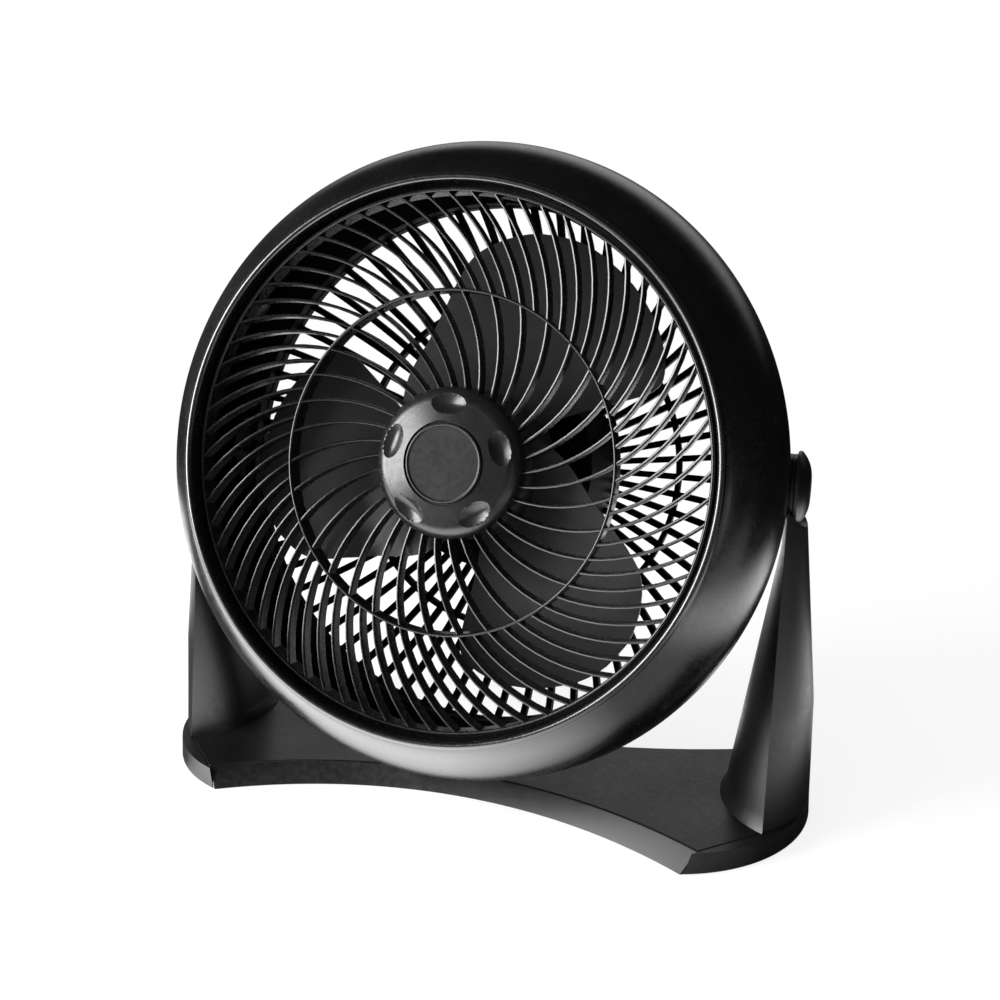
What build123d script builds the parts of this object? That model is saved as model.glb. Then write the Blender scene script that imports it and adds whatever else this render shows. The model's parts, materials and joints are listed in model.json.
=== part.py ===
"""Table air circulator fan: a round fan head that tilts between the two arms of a low stand.

Stand parts are modelled about the tilt axis: X to the right, Y to the back, Z up, floor at Z = 0.
Head parts are modelled in fan coordinates (X right, Y up, Z forward along the fan axis, origin
on the tilt axis) and are then turned into the head's resting tilt. Last, every piece is moved
forward so that the origin is under the middle of the whole fan. Millimetres throughout.
"""

import os
from math import cos, radians, sin

from build123d import *

# ---- driving dimensions -------------------------------------------------------------------
PIVOT_HEIGHT = 204.0        # tilt axis above the floor
REST_TILT = 13.0            # degrees that the face looks up as the fan stands
FORWARD_SHIFT = 12.7        # the tilt axis stands this far in front of the fan's middle

# stand: a bow-tie base with a crescent cover on each end
BASE_BOTTOM = 1.0
BASE_TOP = 12.7
BASE_WALL = 3.0
FRONT_MIDDLE_Y = -47.0      # front edge of the base at its middle, on the floor
FRONT_SLOPE = 9.0           # how far the front face leans back over its height
REAR_MIDDLE_Y = 19.0
SEAM_FRONT = (148.0, -88.0)  # where base plate and end cover meet on the front edge
SEAM_SLOPE = (8.0, 8.0)     # and how far that point moves in and back at the top
ARM_PLANE_X = 188.0         # plane where inner arm and outer cover meet
REAR_CORNER_Y = 60.5
END_CENTRE_X = 119.0        # end covers are round in plan
END_RADIUS = 92.0
END_TOP_CENTRE_X = 121.0
END_TOP_RADIUS = 89.5
FOOT_RADIUS = 8.0
FOOT_HEIGHT = 3.0
FOOT_PLACES = ((152.0, -62.0), (166.0, 38.0))
BASE_RIB_PLACES = (-120, -72, -24, 24, 72, 120)
BASE_RIB_THICKNESS = 2.0
ARM_SCREW_X = 177.0
ARM_SCREW_Y = 24.0

# arms: (height, half length, inward bulge), and (height, half length, outward bulge)
ARM_SECTIONS = ((BASE_TOP, 50.0, 28.0), (170.0, 24.1, 3.4), (PIVOT_HEIGHT, 18.0, 2.8))
COVER_SECTIONS = ((BASE_TOP, 50.0, 22.5), (76.0, 39.7, 21.0), (181.0, 22.3, 10.5), (PIVOT_HEIGHT, 18.0, 8.0))
ARM_WALL = 3.0
ARM_FOOT = 10.0             # solid height at the bottom of an arm
ARM_EYE_RADIUS = 19.4
ARM_INNER_X = 185.2

# pivots
PIVOT_RADIUS = 4.0
PIVOT_CLEARANCE = 0.05
PIVOT_HEAD_RADIUS = 7.0
PIVOT_BOSS_FACE_X = 184.0
PIVOT_BOSS_RADIUS = 13.0
PIVOT_PIN_INNER_X = 174.0
PIVOT_CAP_RADIUS = 21.3
PIVOT_CAP_SEAT_X = 190.4    # the domed cap sits on the cover here
PIVOT_CAP_RIM_X = 192.4
PIVOT_CAP_OUTER_X = 198.3
PIVOT_CAP_FLAT_RADIUS = 8.0
PIVOT_HEAD_HEIGHT = 3.6

# head housing, from the bezel's front bead to the shell's rear edge, in fan coordinates
BEAD_RADIUS = 157.5
BEAD_FRONT = 77.2
LIP_INNER_RADIUS = 155.3
LIP_REAR = 61.0
FLARE_RADIUS = 188.0
FLARE_REAR = 30.0           # the flare is widest here, and turns into the lip
SHELL_FRONT = 18.2          # bezel and shell meet here
SHELL_FRONT_RADIUS = 181.0
SHELL_FRONT_INNER = 178.1
SHELL_REAR = -18.0
SHELL_REAR_RADIUS = 168.5
SHELL_REAR_INNER = 161.9
CLIP_COUNT = 6
CLIP_INNER_RADIUS = 173.4
CLIP_OUTER_RADIUS = 175.6
CLIP_WIDTH = 12.0
CLIP_REAR = 6.0
GRILLE_SCREWS = 4
GRILLE_SCREW_CIRCLE = 165.8
REAR_SCREWS = 6
REAR_SCREW_CIRCLE = 165.2

# front grille: curved fins on a shallow dish
HUB_FIN_COUNT = 34
RIM_FIN_COUNT = 2 * HUB_FIN_COUNT
FIN_THICKNESS = 1.9
FIN_DEPTH = 8.0
DISH_HUB_RADIUS = 44.0
DISH_HUB_PLACE = 51.0
DISH_RIM_RADIUS = 152.0
DISH_RIM_PLACE = 69.0
MIDDLE_RING_RADIUS = 98.3
RING_THICKNESS = 2.0

# hub cap
CAP_RADIUS = 43.6
CAP_REAR = 51.1
CAP_SHOULDER = 55.0
CAP_FRONT = 63.0
CAP_SPIGOT_RADIUS = 32.5
DISC_RADIUS = 23.0
DIMPLE_COUNT = 5
DIMPLE_CIRCLE = 34.0

# rear grille: a bowl of ribs from the rim in to the cup that holds the motor
REAR_GRILLE_FRONT = -18.0
REAR_GRILLE_REAR = -25.0
REAR_RIB_COUNT = 60
REAR_RIB_THICKNESS = 2.6
REAR_SLOT_RADIUS = 161.5
REAR_RING_RADIUS = 112.0
REAR_RING_REAR = -78.0
CUP_RADIUS = 66.0
CUP_WALL = 2.5
CUP_FRONT = -20.0
CUP_REAR = -98.0
CUP_PLATE = 4.0

# motor
MOTOR_RADIUS = 41.0
MOTOR_FRONT = -24.2
STATOR_FRONT = -38.0
STATOR_REAR = -60.0
MOTOR_REAR = -73.0
SHAFT_RADIUS = 4.0
SHAFT_CLEARANCE = 0.05
BEARING_RADIUS = 8.0
BOLT_CIRCLE = 36.0
BOLT_RADIUS = 1.8
POD_RADIUS = 62.0
POD_REAR_RADIUS = 60.0
POD_REAR = -120.0
POD_WALL = 2.5
POD_SCREW_CIRCLE = 66.0
CORD_PLACE = -106.0         # middle of the cord inlet along the fan axis
CORD_HOLE_RADIUS = 3.7

# impeller
HUB_RADIUS = 45.0
HUB_REAR = -14.0
HUB_FRONT = 35.0
BLADE_COUNT = 3
BLADE_RADIUS = 146.0
BLADE_THICKNESS = 2.2
BLADE_REAR = -12.0
BLADE_RISE = 45.0
BLADE_START = 25.0          # degrees; the blade climbs forward from here
BLADE_SPAN = 110.0

# speed knob on the back of the pod
KNOB_OFFSET = 26.0
KNOB_RADIUS = 13.0
KNOB_REAR = -131.0
KNOB_SHAFT_RADIUS = 3.0

LOW = (Align.CENTER, Align.CENTER, Align.MIN)
HEAD = Location((0, 0, PIVOT_HEIGHT), (90 - REST_TILT, 0, 0))


# ---- shared shapes ------------------------------------------------------------------------
def disc(radius, rear, front):
    """Round slug along Z between two heights."""
    return Pos(0, 0, rear) * Cylinder(radius, front - rear, align=LOW)


def tube(outer, inner, rear, front):
    """Round tube along Z between two heights."""
    return disc(outer, rear, front) - disc(inner, rear - 1, front + 1)


def slug_x(radius, start, end, height=PIVOT_HEIGHT):
    """Round slug along X between two places, at a height over the floor."""
    low, high = min(start, end), max(start, end)
    return Location((low, 0, height), (0, 90, 0)) * Cylinder(radius, high - low, align=LOW)


def turned(points):
    """Solid of revolution about Z from a closed outline of (radius, place) points."""
    return revolve(make_face(Plane.XZ * Polyline(*points, close=True)), Axis.Z)


def around(shape, count, start=0.0):
    """Copies of a shape spaced evenly about Z."""
    return [Rot(0, 0, start + index * 360 / count) * shape for index in range(count)]


def polar(radius, angle):
    """Point at a radius and an angle in degrees."""
    return (radius * cos(radians(angle)), radius * sin(radians(angle)))


def fused(first, others):
    """One solid from a first shape and a list of shapes that touch it."""
    return first.fuse(*others)


def mirrored(shape):
    """The same piece on the left of the fan."""
    return mirror(shape, about=Plane.YZ)


# ---- stand --------------------------------------------------------------------------------
def base_outline(height, inset=0.0):
    """Plan of the base plate at a height, drawn in by an inset."""
    part = (height - BASE_BOTTOM) / (BASE_TOP - BASE_BOTTOM)
    seam_x = SEAM_FRONT[0] + part * SEAM_SLOPE[0] - 0.5 * inset
    seam_y = SEAM_FRONT[1] + part * SEAM_SLOPE[1] + 1.6 * inset
    side_x = ARM_PLANE_X - inset
    front = FRONT_MIDDLE_Y + part * FRONT_SLOPE + inset
    rear = REAR_MIDDLE_Y - inset
    corner = REAR_CORNER_Y - 1.3 * inset
    edge = ThreePointArc((-seam_x, seam_y), (0, front), (seam_x, seam_y))
    edge += Polyline((seam_x, seam_y), (side_x, -50 + 0.5 * inset), (side_x, corner))
    edge += ThreePointArc((side_x, corner), (0, rear), (-side_x, corner))
    edge += Polyline((-side_x, corner), (-side_x, -50 + 0.5 * inset), (-seam_x, seam_y))
    return Pos(0, 0, height) * make_face(edge)


def base_plate():
    """Low hollow base between the two end covers, with ribs, foot posts and screw holes."""
    body = loft([base_outline(BASE_BOTTOM), base_outline(BASE_TOP)], ruled=True)
    ceiling = BASE_TOP - BASE_WALL
    hollow = loft([base_outline(BASE_BOTTOM, BASE_WALL), base_outline(ceiling, BASE_WALL)], ruled=True)
    rib_foot = BASE_BOTTOM + 2
    ribs = [Pos(x, -10, rib_foot) * Box(BASE_RIB_THICKNESS, 200, 20, align=LOW) for x in BASE_RIB_PLACES]
    ribs += [Pos(0, -12, rib_foot) * Box(360, BASE_RIB_THICKNESS, 20, align=LOW)]
    ribs += [Pos(x, y, FOOT_HEIGHT) * Cylinder(FOOT_RADIUS + 2, 20, align=LOW) for x, y in foot_places()]
    kept = hollow & Compound(ribs)
    shell = body - hollow
    for x, y in arm_screw_places():
        shell -= Pos(x, y, 0) * Cylinder(2.2, 20, align=LOW)
    return fused(shell, kept.solids())


def foot_places():
    """Centres of the four rubber feet."""
    return [(side * x, y) for side in (-1, 1) for x, y in FOOT_PLACES]


def arm_screw_places():
    """Centres of the screws that hold each arm down on the base."""
    return [(side * ARM_SCREW_X, y) for side in (-1, 1) for y in (-ARM_SCREW_Y, ARM_SCREW_Y)]


def foot_pads():
    """Four rubber feet under the base."""
    return Compound([Pos(x, y, 0) * Cylinder(FOOT_RADIUS, FOOT_HEIGHT, align=LOW) for x, y in foot_places()])


def arm_screws():
    """Four pan-head screws, driven up through the base into the arms."""
    ceiling = BASE_TOP - BASE_WALL
    head = Pos(0, 0, ceiling - 2.6) * Cylinder(4, 2.6, align=LOW)
    shank = Pos(0, 0, ceiling - 0.5) * Cylinder(2, 12, align=LOW)
    return Compound([Pos(x, y, 0) * (head + shank) for x, y in arm_screw_places()])


def segment(height, half_length, bulge):
    """Plan of an arm or of its cover at one height: a chord on the arm plane and an arc."""
    rear, front = (ARM_PLANE_X, half_length), (ARM_PLANE_X, -half_length)
    outline = Line(rear, front) + ThreePointArc(front, (ARM_PLANE_X + bulge, 0), rear)
    return Pos(0, 0, height) * make_face(outline)


def arm_loft(sections, side, shrink=0.0, floor=0.0):
    """Tapered body through plan sections; shrink draws it in, floor raises its bottom."""
    faces = []
    for height, half_length, bulge in sections:
        lifted = height + (floor if height == sections[0][0] else 0.0)
        drawn = max(bulge - shrink, 0.6)
        faces.append(segment(lifted, half_length - 1.6 * shrink, side * drawn))
    return loft(faces, ruled=True)


def right_arm():
    """Inner arm: a hollow half cone that narrows up to the pivot eye."""
    body = arm_loft(ARM_SECTIONS, -1)
    hollow = arm_loft(ARM_SECTIONS[:2], -1, ARM_WALL, ARM_FOOT)
    eye = slug_x(ARM_EYE_RADIUS, ARM_INNER_X, ARM_PLANE_X)
    bore = slug_x(PIVOT_RADIUS + PIVOT_CLEARANCE, ARM_INNER_X - 5, ARM_PLANE_X + 1)
    arm = (body - hollow) + eye - bore - slug_x(ARM_EYE_RADIUS + 2, ARM_INNER_X - 3, ARM_INNER_X)
    for x, y in arm_screw_places():
        arm -= Pos(x, y, 0) * Cylinder(2.0, BASE_TOP + ARM_FOOT - 1, align=LOW)
    return arm


def end_disc(height, inset=0.0):
    """Round plan of an end cover at a height, drawn in by an inset."""
    part = (height - BASE_BOTTOM) / (BASE_TOP - BASE_BOTTOM)
    centre = END_CENTRE_X + part * (END_TOP_CENTRE_X - END_CENTRE_X)
    radius = END_RADIUS + part * (END_TOP_RADIUS - END_RADIUS) - inset
    return Pos(centre, 0, height) * Circle(radius)


def right_arm_cover():
    """Outer cover: a panel up the arm and a crescent that closes the end of the base."""
    skirt = loft([end_disc(BASE_BOTTOM), end_disc(BASE_TOP)], ruled=True)
    ceiling = BASE_TOP - BASE_WALL
    hollow = loft([end_disc(BASE_BOTTOM, BASE_WALL), end_disc(ceiling, BASE_WALL)], ruled=True)
    corner = (SEAM_FRONT[0] - 1, SEAM_FRONT[1] - 1)
    keep = Polyline((ARM_PLANE_X, -50), corner, (300, -160), (300, REAR_CORNER_Y), (ARM_PLANE_X, REAR_CORNER_Y),
                    close=True)
    crescent = extrude(make_face(keep), BASE_TOP + 1)
    outer_side = Pos(ARM_PLANE_X, 0, 0) * Box(200, 400, 400, align=(Align.MIN, Align.CENTER, Align.MIN))
    skirt = (skirt & crescent) - (hollow & outer_side)
    panel = arm_loft(COVER_SECTIONS, 1)
    space = arm_loft(COVER_SECTIONS[:3], 1, ARM_WALL, -2.0)
    eye = slug_x(ARM_EYE_RADIUS, ARM_PLANE_X, PIVOT_CAP_SEAT_X)
    seat = slug_x(PIVOT_CAP_RADIUS + 0.3, PIVOT_CAP_SEAT_X, PIVOT_CAP_OUTER_X + 1)
    bore = slug_x(PIVOT_RADIUS + PIVOT_CLEARANCE, ARM_PLANE_X - 1, PIVOT_CAP_SEAT_X + 1)
    return skirt.fuse((panel - space) - seat, eye) - bore


def right_pivot_cap():
    """Domed round cap that hides the head of the pivot bolt."""
    edge = Polyline((0, PIVOT_CAP_SEAT_X), (PIVOT_CAP_RADIUS, PIVOT_CAP_SEAT_X), (PIVOT_CAP_RADIUS, PIVOT_CAP_RIM_X))
    edge += ThreePointArc((PIVOT_CAP_RADIUS, PIVOT_CAP_RIM_X), (16.0, 196.2), (PIVOT_CAP_FLAT_RADIUS, PIVOT_CAP_OUTER_X))
    edge += Polyline((PIVOT_CAP_FLAT_RADIUS, PIVOT_CAP_OUTER_X), (0, PIVOT_CAP_OUTER_X), (0, PIVOT_CAP_SEAT_X))
    dome = revolve(Plane.XZ * make_face(edge), Axis.Z)
    pocket = disc(PIVOT_HEAD_RADIUS + 0.5, PIVOT_CAP_SEAT_X - 1, PIVOT_CAP_SEAT_X + PIVOT_HEAD_HEIGHT + 0.5)
    return Location((0, 0, PIVOT_HEIGHT), (0, 90, 0)) * (dome - pocket)


def right_friction_washer():
    """Friction washer between arm and head."""
    ring = slug_x(12, PIVOT_BOSS_FACE_X + 0.1, ARM_INNER_X - 0.1)
    return ring - slug_x(PIVOT_RADIUS + 0.4, PIVOT_BOSS_FACE_X, ARM_INNER_X)


def right_pivot_bolt():
    """Pivot bolt: it is screwed into the head and turns in the arm."""
    shank = slug_x(PIVOT_RADIUS, PIVOT_PIN_INNER_X, PIVOT_CAP_SEAT_X + 1)
    return shank + slug_x(PIVOT_HEAD_RADIUS, PIVOT_CAP_SEAT_X + 0.1, PIVOT_CAP_SEAT_X + PIVOT_HEAD_HEIGHT)


# ---- head housing -------------------------------------------------------------------------
def bezel_outline():
    """Half section of the bezel: bead, convex flare, and the lip that turns in behind it."""
    bead_side = BEAD_FRONT - 2.2
    bead_out = 2 * BEAD_RADIUS - LIP_INNER_RADIUS
    edge = Line((LIP_INNER_RADIUS, LIP_REAR), (LIP_INNER_RADIUS, bead_side))
    edge += ThreePointArc((LIP_INNER_RADIUS, bead_side), (BEAD_RADIUS, BEAD_FRONT), (bead_out, bead_side))
    edge += Line((bead_out, bead_side), (161.0, 73.6))
    edge += ThreePointArc((161.0, 73.6), (178.6, 56.5), (FLARE_RADIUS, FLARE_REAR))
    edge += ThreePointArc((FLARE_RADIUS, FLARE_REAR), (187.2, 22.9), (182.5, 19.5))
    edge += Polyline((182.5, 19.5), (SHELL_FRONT_RADIUS, SHELL_FRONT), (SHELL_FRONT_INNER, SHELL_FRONT), (184.3, 27.5))
    edge += ThreePointArc((184.3, 27.5), (175.8, 54.2), (163.0, 68.5))
    edge += Polyline((163.0, 68.5), (163.0, LIP_REAR), (LIP_INNER_RADIUS, LIP_REAR))
    return Plane.XZ * make_face(edge)


def bezel_clip():
    """One clip of the bezel: a tongue that runs back inside the shell, with a barb at its end."""
    inward = (Align.MIN, Align.CENTER, Align.MIN)
    root_depth = 6.0
    thickness = CLIP_OUTER_RADIUS - CLIP_INNER_RADIUS
    tongue = Pos(CLIP_INNER_RADIUS, 0, CLIP_REAR) * Box(thickness, CLIP_WIDTH, SHELL_FRONT + root_depth - CLIP_REAR,
                                                       align=inward)
    root = Pos(CLIP_INNER_RADIUS, 0, SHELL_FRONT) * Box(SHELL_FRONT_INNER + 2 - CLIP_INNER_RADIUS, CLIP_WIDTH, root_depth,
                                                       align=inward)
    barb = Pos(CLIP_OUTER_RADIUS - 0.5, 0, CLIP_REAR + 1) * Box(2.6, CLIP_WIDTH - 4, 2.5, align=inward)
    return tongue + root + barb


def front_bezel():
    """Front part of the housing: the flare with its bead, the grille's lugs and the clips."""
    ring = revolve(bezel_outline(), Axis.Z)
    lug = Pos(162, 0, LIP_REAR) * Box(7, 9, 5, align=(Align.MIN, Align.CENTER, Align.MIN))
    lugs = [Rot(0, 0, angle) * lug for angle in screw_angles(GRILLE_SCREWS)]
    clips = [Rot(0, 0, angle) * bezel_clip() for angle in screw_angles(CLIP_COUNT)]
    hole = Pos(GRILLE_SCREW_CIRCLE, 0, LIP_REAR - 5) * Cylinder(1.6, 9, align=LOW)
    holes = [Rot(0, 0, angle) * hole for angle in screw_angles(GRILLE_SCREWS)]
    return ring.fuse(*lugs, *clips).cut(*holes)


def head_shell():
    """Drum behind the bezel, with a pivot boss on each side and windows for the clips."""
    drum = turned([(SHELL_FRONT_RADIUS, SHELL_FRONT), (178.0, 0), (SHELL_REAR_RADIUS, SHELL_REAR),
                   (SHELL_REAR_INNER, SHELL_REAR), (SHELL_REAR_INNER, SHELL_REAR + 8), (166.5, SHELL_REAR + 12),
                   (175.0, 0), (SHELL_FRONT_INNER, SHELL_FRONT)])
    boss_root = 164.0
    boss = Location((boss_root, 0, 0), (0, 90, 0)) * Cylinder(PIVOT_BOSS_RADIUS, PIVOT_BOSS_FACE_X - boss_root, align=LOW)
    web = Pos(boss_root, 0, 0) * Box(10, 40, 6, align=(Align.MIN, Align.CENTER, Align.CENTER))
    boss = (boss + web) - disc(160, -60, 60)
    bore = Location((160, 0, 0), (0, 90, 0)) * Cylinder(PIVOT_RADIUS, 40, align=LOW)
    screw_hole = Pos(REAR_SCREW_CIRCLE, 0, SHELL_REAR - 1) * Cylinder(1.6, 9, align=LOW)
    window = Pos(170, 0, CLIP_REAR + 0.5) * Box(14, CLIP_WIDTH - 3, 3.5, align=(Align.MIN, Align.CENTER, Align.MIN))
    holes = [bore, Rot(0, 0, 180) * bore]
    holes += [Rot(0, 0, angle) * screw_hole for angle in screw_angles(REAR_SCREWS)]
    holes += [Rot(0, 0, angle) * window for angle in screw_angles(CLIP_COUNT)]
    return drum.fuse(boss, Rot(0, 0, 180) * boss).cut(*holes)


def screw_angles(count):
    """Angles of evenly spaced screws or clips, kept off the level line of the pivots."""
    return [180 / count + index * 360 / count for index in range(count)]


# ---- front grille -------------------------------------------------------------------------
def fin_angle(radius):
    """Angle of a fin at a radius: it sweeps round as it goes out, a little faster at the rim."""
    return 18.0 + 0.310 * (radius - 42.4) + 0.0006 * (radius - 42.4) * (radius - 96.6)


def fin_face(inner, outer, steps=4):
    """Plan of one curved fin between two radii."""
    sides = ([], [])
    for step in range(steps + 1):
        radius = inner + (outer - inner) * step / steps
        half = FIN_THICKNESS / 2
        x, y = polar(radius, fin_angle(radius))
        ahead, behind = polar(radius + 1, fin_angle(radius + 1)), polar(radius - 1, fin_angle(radius - 1))
        run = Vector(ahead[0] - behind[0], ahead[1] - behind[1]).normalized()
        sides[0].append((x - half * run.Y, y + half * run.X))
        sides[1].append((x + half * run.Y, y - half * run.X))
    edge = Spline(*sides[0]) + Line(sides[0][-1], sides[1][-1])
    edge += Spline(*reversed(sides[1])) + Line(sides[1][0], sides[0][0])
    return make_face(edge)


def dish_place(radius):
    """Front of the grille's shallow dish at a radius."""
    slope = (DISH_RIM_PLACE - DISH_HUB_PLACE) / (DISH_RIM_RADIUS - DISH_HUB_RADIUS)
    return DISH_HUB_PLACE + slope * (radius - DISH_HUB_RADIUS)


def dish_slab():
    """The dished layer that the fins fill."""
    inner, outer = 20.0, 170.0
    return turned([(inner, dish_place(inner)), (outer, dish_place(outer)),
                   (outer, dish_place(outer) - FIN_DEPTH), (inner, dish_place(inner) - FIN_DEPTH)])


def fin(inner, outer):
    """One curved fin between two radii, trimmed to the dish."""
    return extrude(Pos(0, 0, 30) * fin_face(inner, outer), 60) & dish_slab()


def ring_at(radius, thickness, rear, front):
    """Upright ring centred on a radius."""
    return tube(radius + thickness / 2, radius - thickness / 2, rear, front)


def front_grille():
    """Front grille: every second rim fin runs on to the hub."""
    middle = dish_place(MIDDLE_RING_RADIUS)
    rings = ring_at(MIDDLE_RING_RADIUS, RING_THICKNESS, middle - 10.5, middle + 0.4)
    flange = LIP_REAR - 3.0
    rim = turned([(150.9, flange), (161.8, flange), (161.8, LIP_REAR), (153.2, LIP_REAR),
                  (153.2, DISH_RIM_PLACE + 0.6), (150.9, DISH_RIM_PLACE + 0.6)])
    centre = turned([(6, 42), (40, 42), (40, 46.6), (34, 46.6), (34, 45), (6, 45)])
    ear = Pos(159, 0, flange) * Box(10.6, 9, 3, align=(Align.MIN, Align.CENTER, Align.MIN))
    ear -= Pos(GRILLE_SCREW_CIRCLE, 0, flange - 1) * Cylinder(1.8, 6, align=LOW)
    ears = [Rot(0, 0, angle) * ear for angle in screw_angles(GRILLE_SCREWS)]
    fins = around(fin(MIDDLE_RING_RADIUS, DISH_RIM_RADIUS), RIM_FIN_COUNT)
    fins += around(fin(38.5, MIDDLE_RING_RADIUS), HUB_FIN_COUNT)
    return rings.fuse(rim, centre, *ears, *fins)


# ---- hub cap ------------------------------------------------------------------------------
def hub_cap():
    """Domed cap on the middle of the grille, with oval dimples and a round seat."""
    edge = Line((CAP_RADIUS, CAP_REAR), (CAP_RADIUS, CAP_SHOULDER))
    edge += ThreePointArc((CAP_RADIUS, CAP_SHOULDER), (CAP_RADIUS - 3.0, CAP_SHOULDER + 3.6),
                          (CAP_RADIUS - 8.5, CAP_SHOULDER + 5.8))
    edge += Polyline((CAP_RADIUS - 8.5, CAP_SHOULDER + 5.8), (DISC_RADIUS + 1.2, CAP_FRONT),
                     (DISC_RADIUS + 0.5, CAP_FRONT - 1.5), (0, CAP_FRONT - 1.5), (0, CAP_FRONT - 4.5),
                     (CAP_RADIUS - 6, CAP_SHOULDER + 1.5), (CAP_RADIUS - 2.5, CAP_REAR), (CAP_RADIUS, CAP_REAR))
    cap = revolve(Plane.XZ * make_face(edge), Axis.Z)
    cap += tube(CAP_SPIGOT_RADIUS, CAP_SPIGOT_RADIUS - 2.0, 45, CAP_SHOULDER + 4)
    dimple = Pos(0, DIMPLE_CIRCLE, CAP_SHOULDER + 10.0) * Rot(-22, 0, 0) * scale(Sphere(1), (10.6, 6.2, 5.6))
    return cap.cut(*around(dimple, DIMPLE_COUNT))


def cap_disc():
    """Plain round disc in the middle of the hub cap."""
    face = disc(DISC_RADIUS, CAP_FRONT - 1.5, CAP_FRONT + 0.6)
    return fillet(face.edges().group_by(Axis.Z)[-1], 0.6)


# ---- rear grille and motor cup ------------------------------------------------------------
def rear_rib():
    """One upright rib of the rear grille: it follows the bowl from the cup out to the rim."""
    depth = REAR_GRILLE_FRONT - REAR_GRILLE_REAR
    curve = [(CUP_RADIUS - 1, CUP_REAR), (REAR_RING_RADIUS, REAR_RING_REAR), (REAR_SLOT_RADIUS + 0.5, REAR_GRILLE_REAR)]
    raised = [(radius, place + depth) for radius, place in curve]
    edge = ThreePointArc(*curve) + Line(curve[-1], raised[-1])
    edge += ThreePointArc(*reversed(raised)) + Line(raised[0], curve[0])
    return extrude(Plane.XZ * make_face(edge), REAR_RIB_THICKNESS / 2, both=True)


def rear_grille():
    """Rear grille: a bowl of upright ribs, a ring, a rim and the deep cup that carries the motor."""
    rim = tube(SHELL_REAR_RADIUS, REAR_SLOT_RADIUS, REAR_GRILLE_REAR, REAR_GRILLE_FRONT)
    depth = REAR_GRILLE_FRONT - REAR_GRILLE_REAR
    ring = ring_at(REAR_RING_RADIUS, 3.4, REAR_RING_REAR, REAR_RING_REAR + depth)
    inner = CUP_RADIUS - CUP_WALL
    cup = turned([(11.3, CUP_FRONT - CUP_PLATE), (inner, CUP_FRONT - CUP_PLATE), (inner, CUP_REAR),
                  (CUP_RADIUS, CUP_REAR), (CUP_RADIUS, CUP_FRONT - 3), (CUP_RADIUS - 3, CUP_FRONT),
                  (11.3, CUP_FRONT)])
    grille = cup.fuse(rim, ring, *around(rear_rib(), REAR_RIB_COUNT))
    holes = [Rot(0, 0, angle) * (Pos(REAR_SCREW_CIRCLE, 0, REAR_GRILLE_REAR - 3) * Cylinder(1.9, 14, align=LOW))
             for angle in screw_angles(REAR_SCREWS)]
    holes += [Rot(0, 0, 45 + 90 * index) * (Pos(BOLT_CIRCLE, 0, -40) * Cylinder(BOLT_RADIUS + 0.1, 30, align=LOW))
              for index in range(4)]
    return grille.cut(*holes)


def screw(radius, head_radius, length, head_height=2.2):
    """Pan-head screw along Z; the head's underside is at Z = 0 and the shank goes down."""
    return disc(head_radius, 0, head_height) + disc(radius, -length, 0.5)


def rear_screws():
    """Screws that hold the rear grille on the housing."""
    piece = Pos(REAR_SCREW_CIRCLE, 0, REAR_GRILLE_REAR) * Rot(180, 0, 0) * screw(1.6, 3.1, 14)
    return Compound([Rot(0, 0, angle) * piece for angle in screw_angles(REAR_SCREWS)])


# ---- motor --------------------------------------------------------------------------------
def bolt_holes(shape, radius):
    """A motor piece with its four bolt holes."""
    hole = Pos(BOLT_CIRCLE, 0, MOTOR_REAR - 10) * Cylinder(radius, 90, align=LOW)
    return shape.cut(*around(hole, 4, 45))


def motor_front_bracket():
    """Front end bracket of the motor with the nose that centres it in the cup."""
    nose = BEARING_RADIUS + 3.0
    shape = turned([(BEARING_RADIUS, MOTOR_FRONT - 6), (BEARING_RADIUS, CUP_FRONT + 1), (nose, CUP_FRONT + 1),
                    (nose, MOTOR_FRONT), (MOTOR_RADIUS, MOTOR_FRONT), (MOTOR_RADIUS, STATOR_FRONT),
                    (MOTOR_RADIUS - 8, STATOR_FRONT), (MOTOR_RADIUS - 8, MOTOR_FRONT - 3), (nose, MOTOR_FRONT - 3),
                    (nose, MOTOR_FRONT - 6)])
    return bolt_holes(shape, BOLT_RADIUS)


def motor_rear_bracket():
    """Rear end bracket of the motor."""
    nose = BEARING_RADIUS + 3.0
    shape = turned([(BEARING_RADIUS, MOTOR_REAR + 6), (BEARING_RADIUS, MOTOR_REAR - 3), (nose, MOTOR_REAR - 3),
                    (nose, MOTOR_REAR), (MOTOR_RADIUS, MOTOR_REAR), (MOTOR_RADIUS, STATOR_REAR),
                    (MOTOR_RADIUS - 8, STATOR_REAR), (MOTOR_RADIUS - 8, MOTOR_REAR + 3), (nose, MOTOR_REAR + 3),
                    (nose, MOTOR_REAR + 6)])
    return bolt_holes(shape, BOLT_RADIUS)


def stator_core():
    """Ring of laminations with its slots."""
    core = tube(MOTOR_RADIUS - 1, 22.3, STATOR_REAR, STATOR_FRONT)
    slot = Pos(26, 0, STATOR_REAR - 1) * Box(7, 4, 40, align=(Align.MIN, Align.CENTER, Align.MIN))
    return bolt_holes(core, BOLT_RADIUS).cut(*around(slot, 16))


def stator_windings():
    """End turns of the windings, front and rear."""
    turns = [ring_at(29.0, 6.0, STATOR_FRONT, STATOR_FRONT + 7), ring_at(29.0, 6.0, STATOR_REAR - 7, STATOR_REAR)]
    return Compound(turns)


def motor_bearings():
    """Front and rear sleeve bearings."""
    bore = SHAFT_RADIUS + SHAFT_CLEARANCE
    front = tube(BEARING_RADIUS, bore, MOTOR_FRONT - 6, CUP_FRONT + 1)
    return Compound([front, tube(BEARING_RADIUS, bore, MOTOR_REAR - 3, MOTOR_REAR + 6)])


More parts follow.
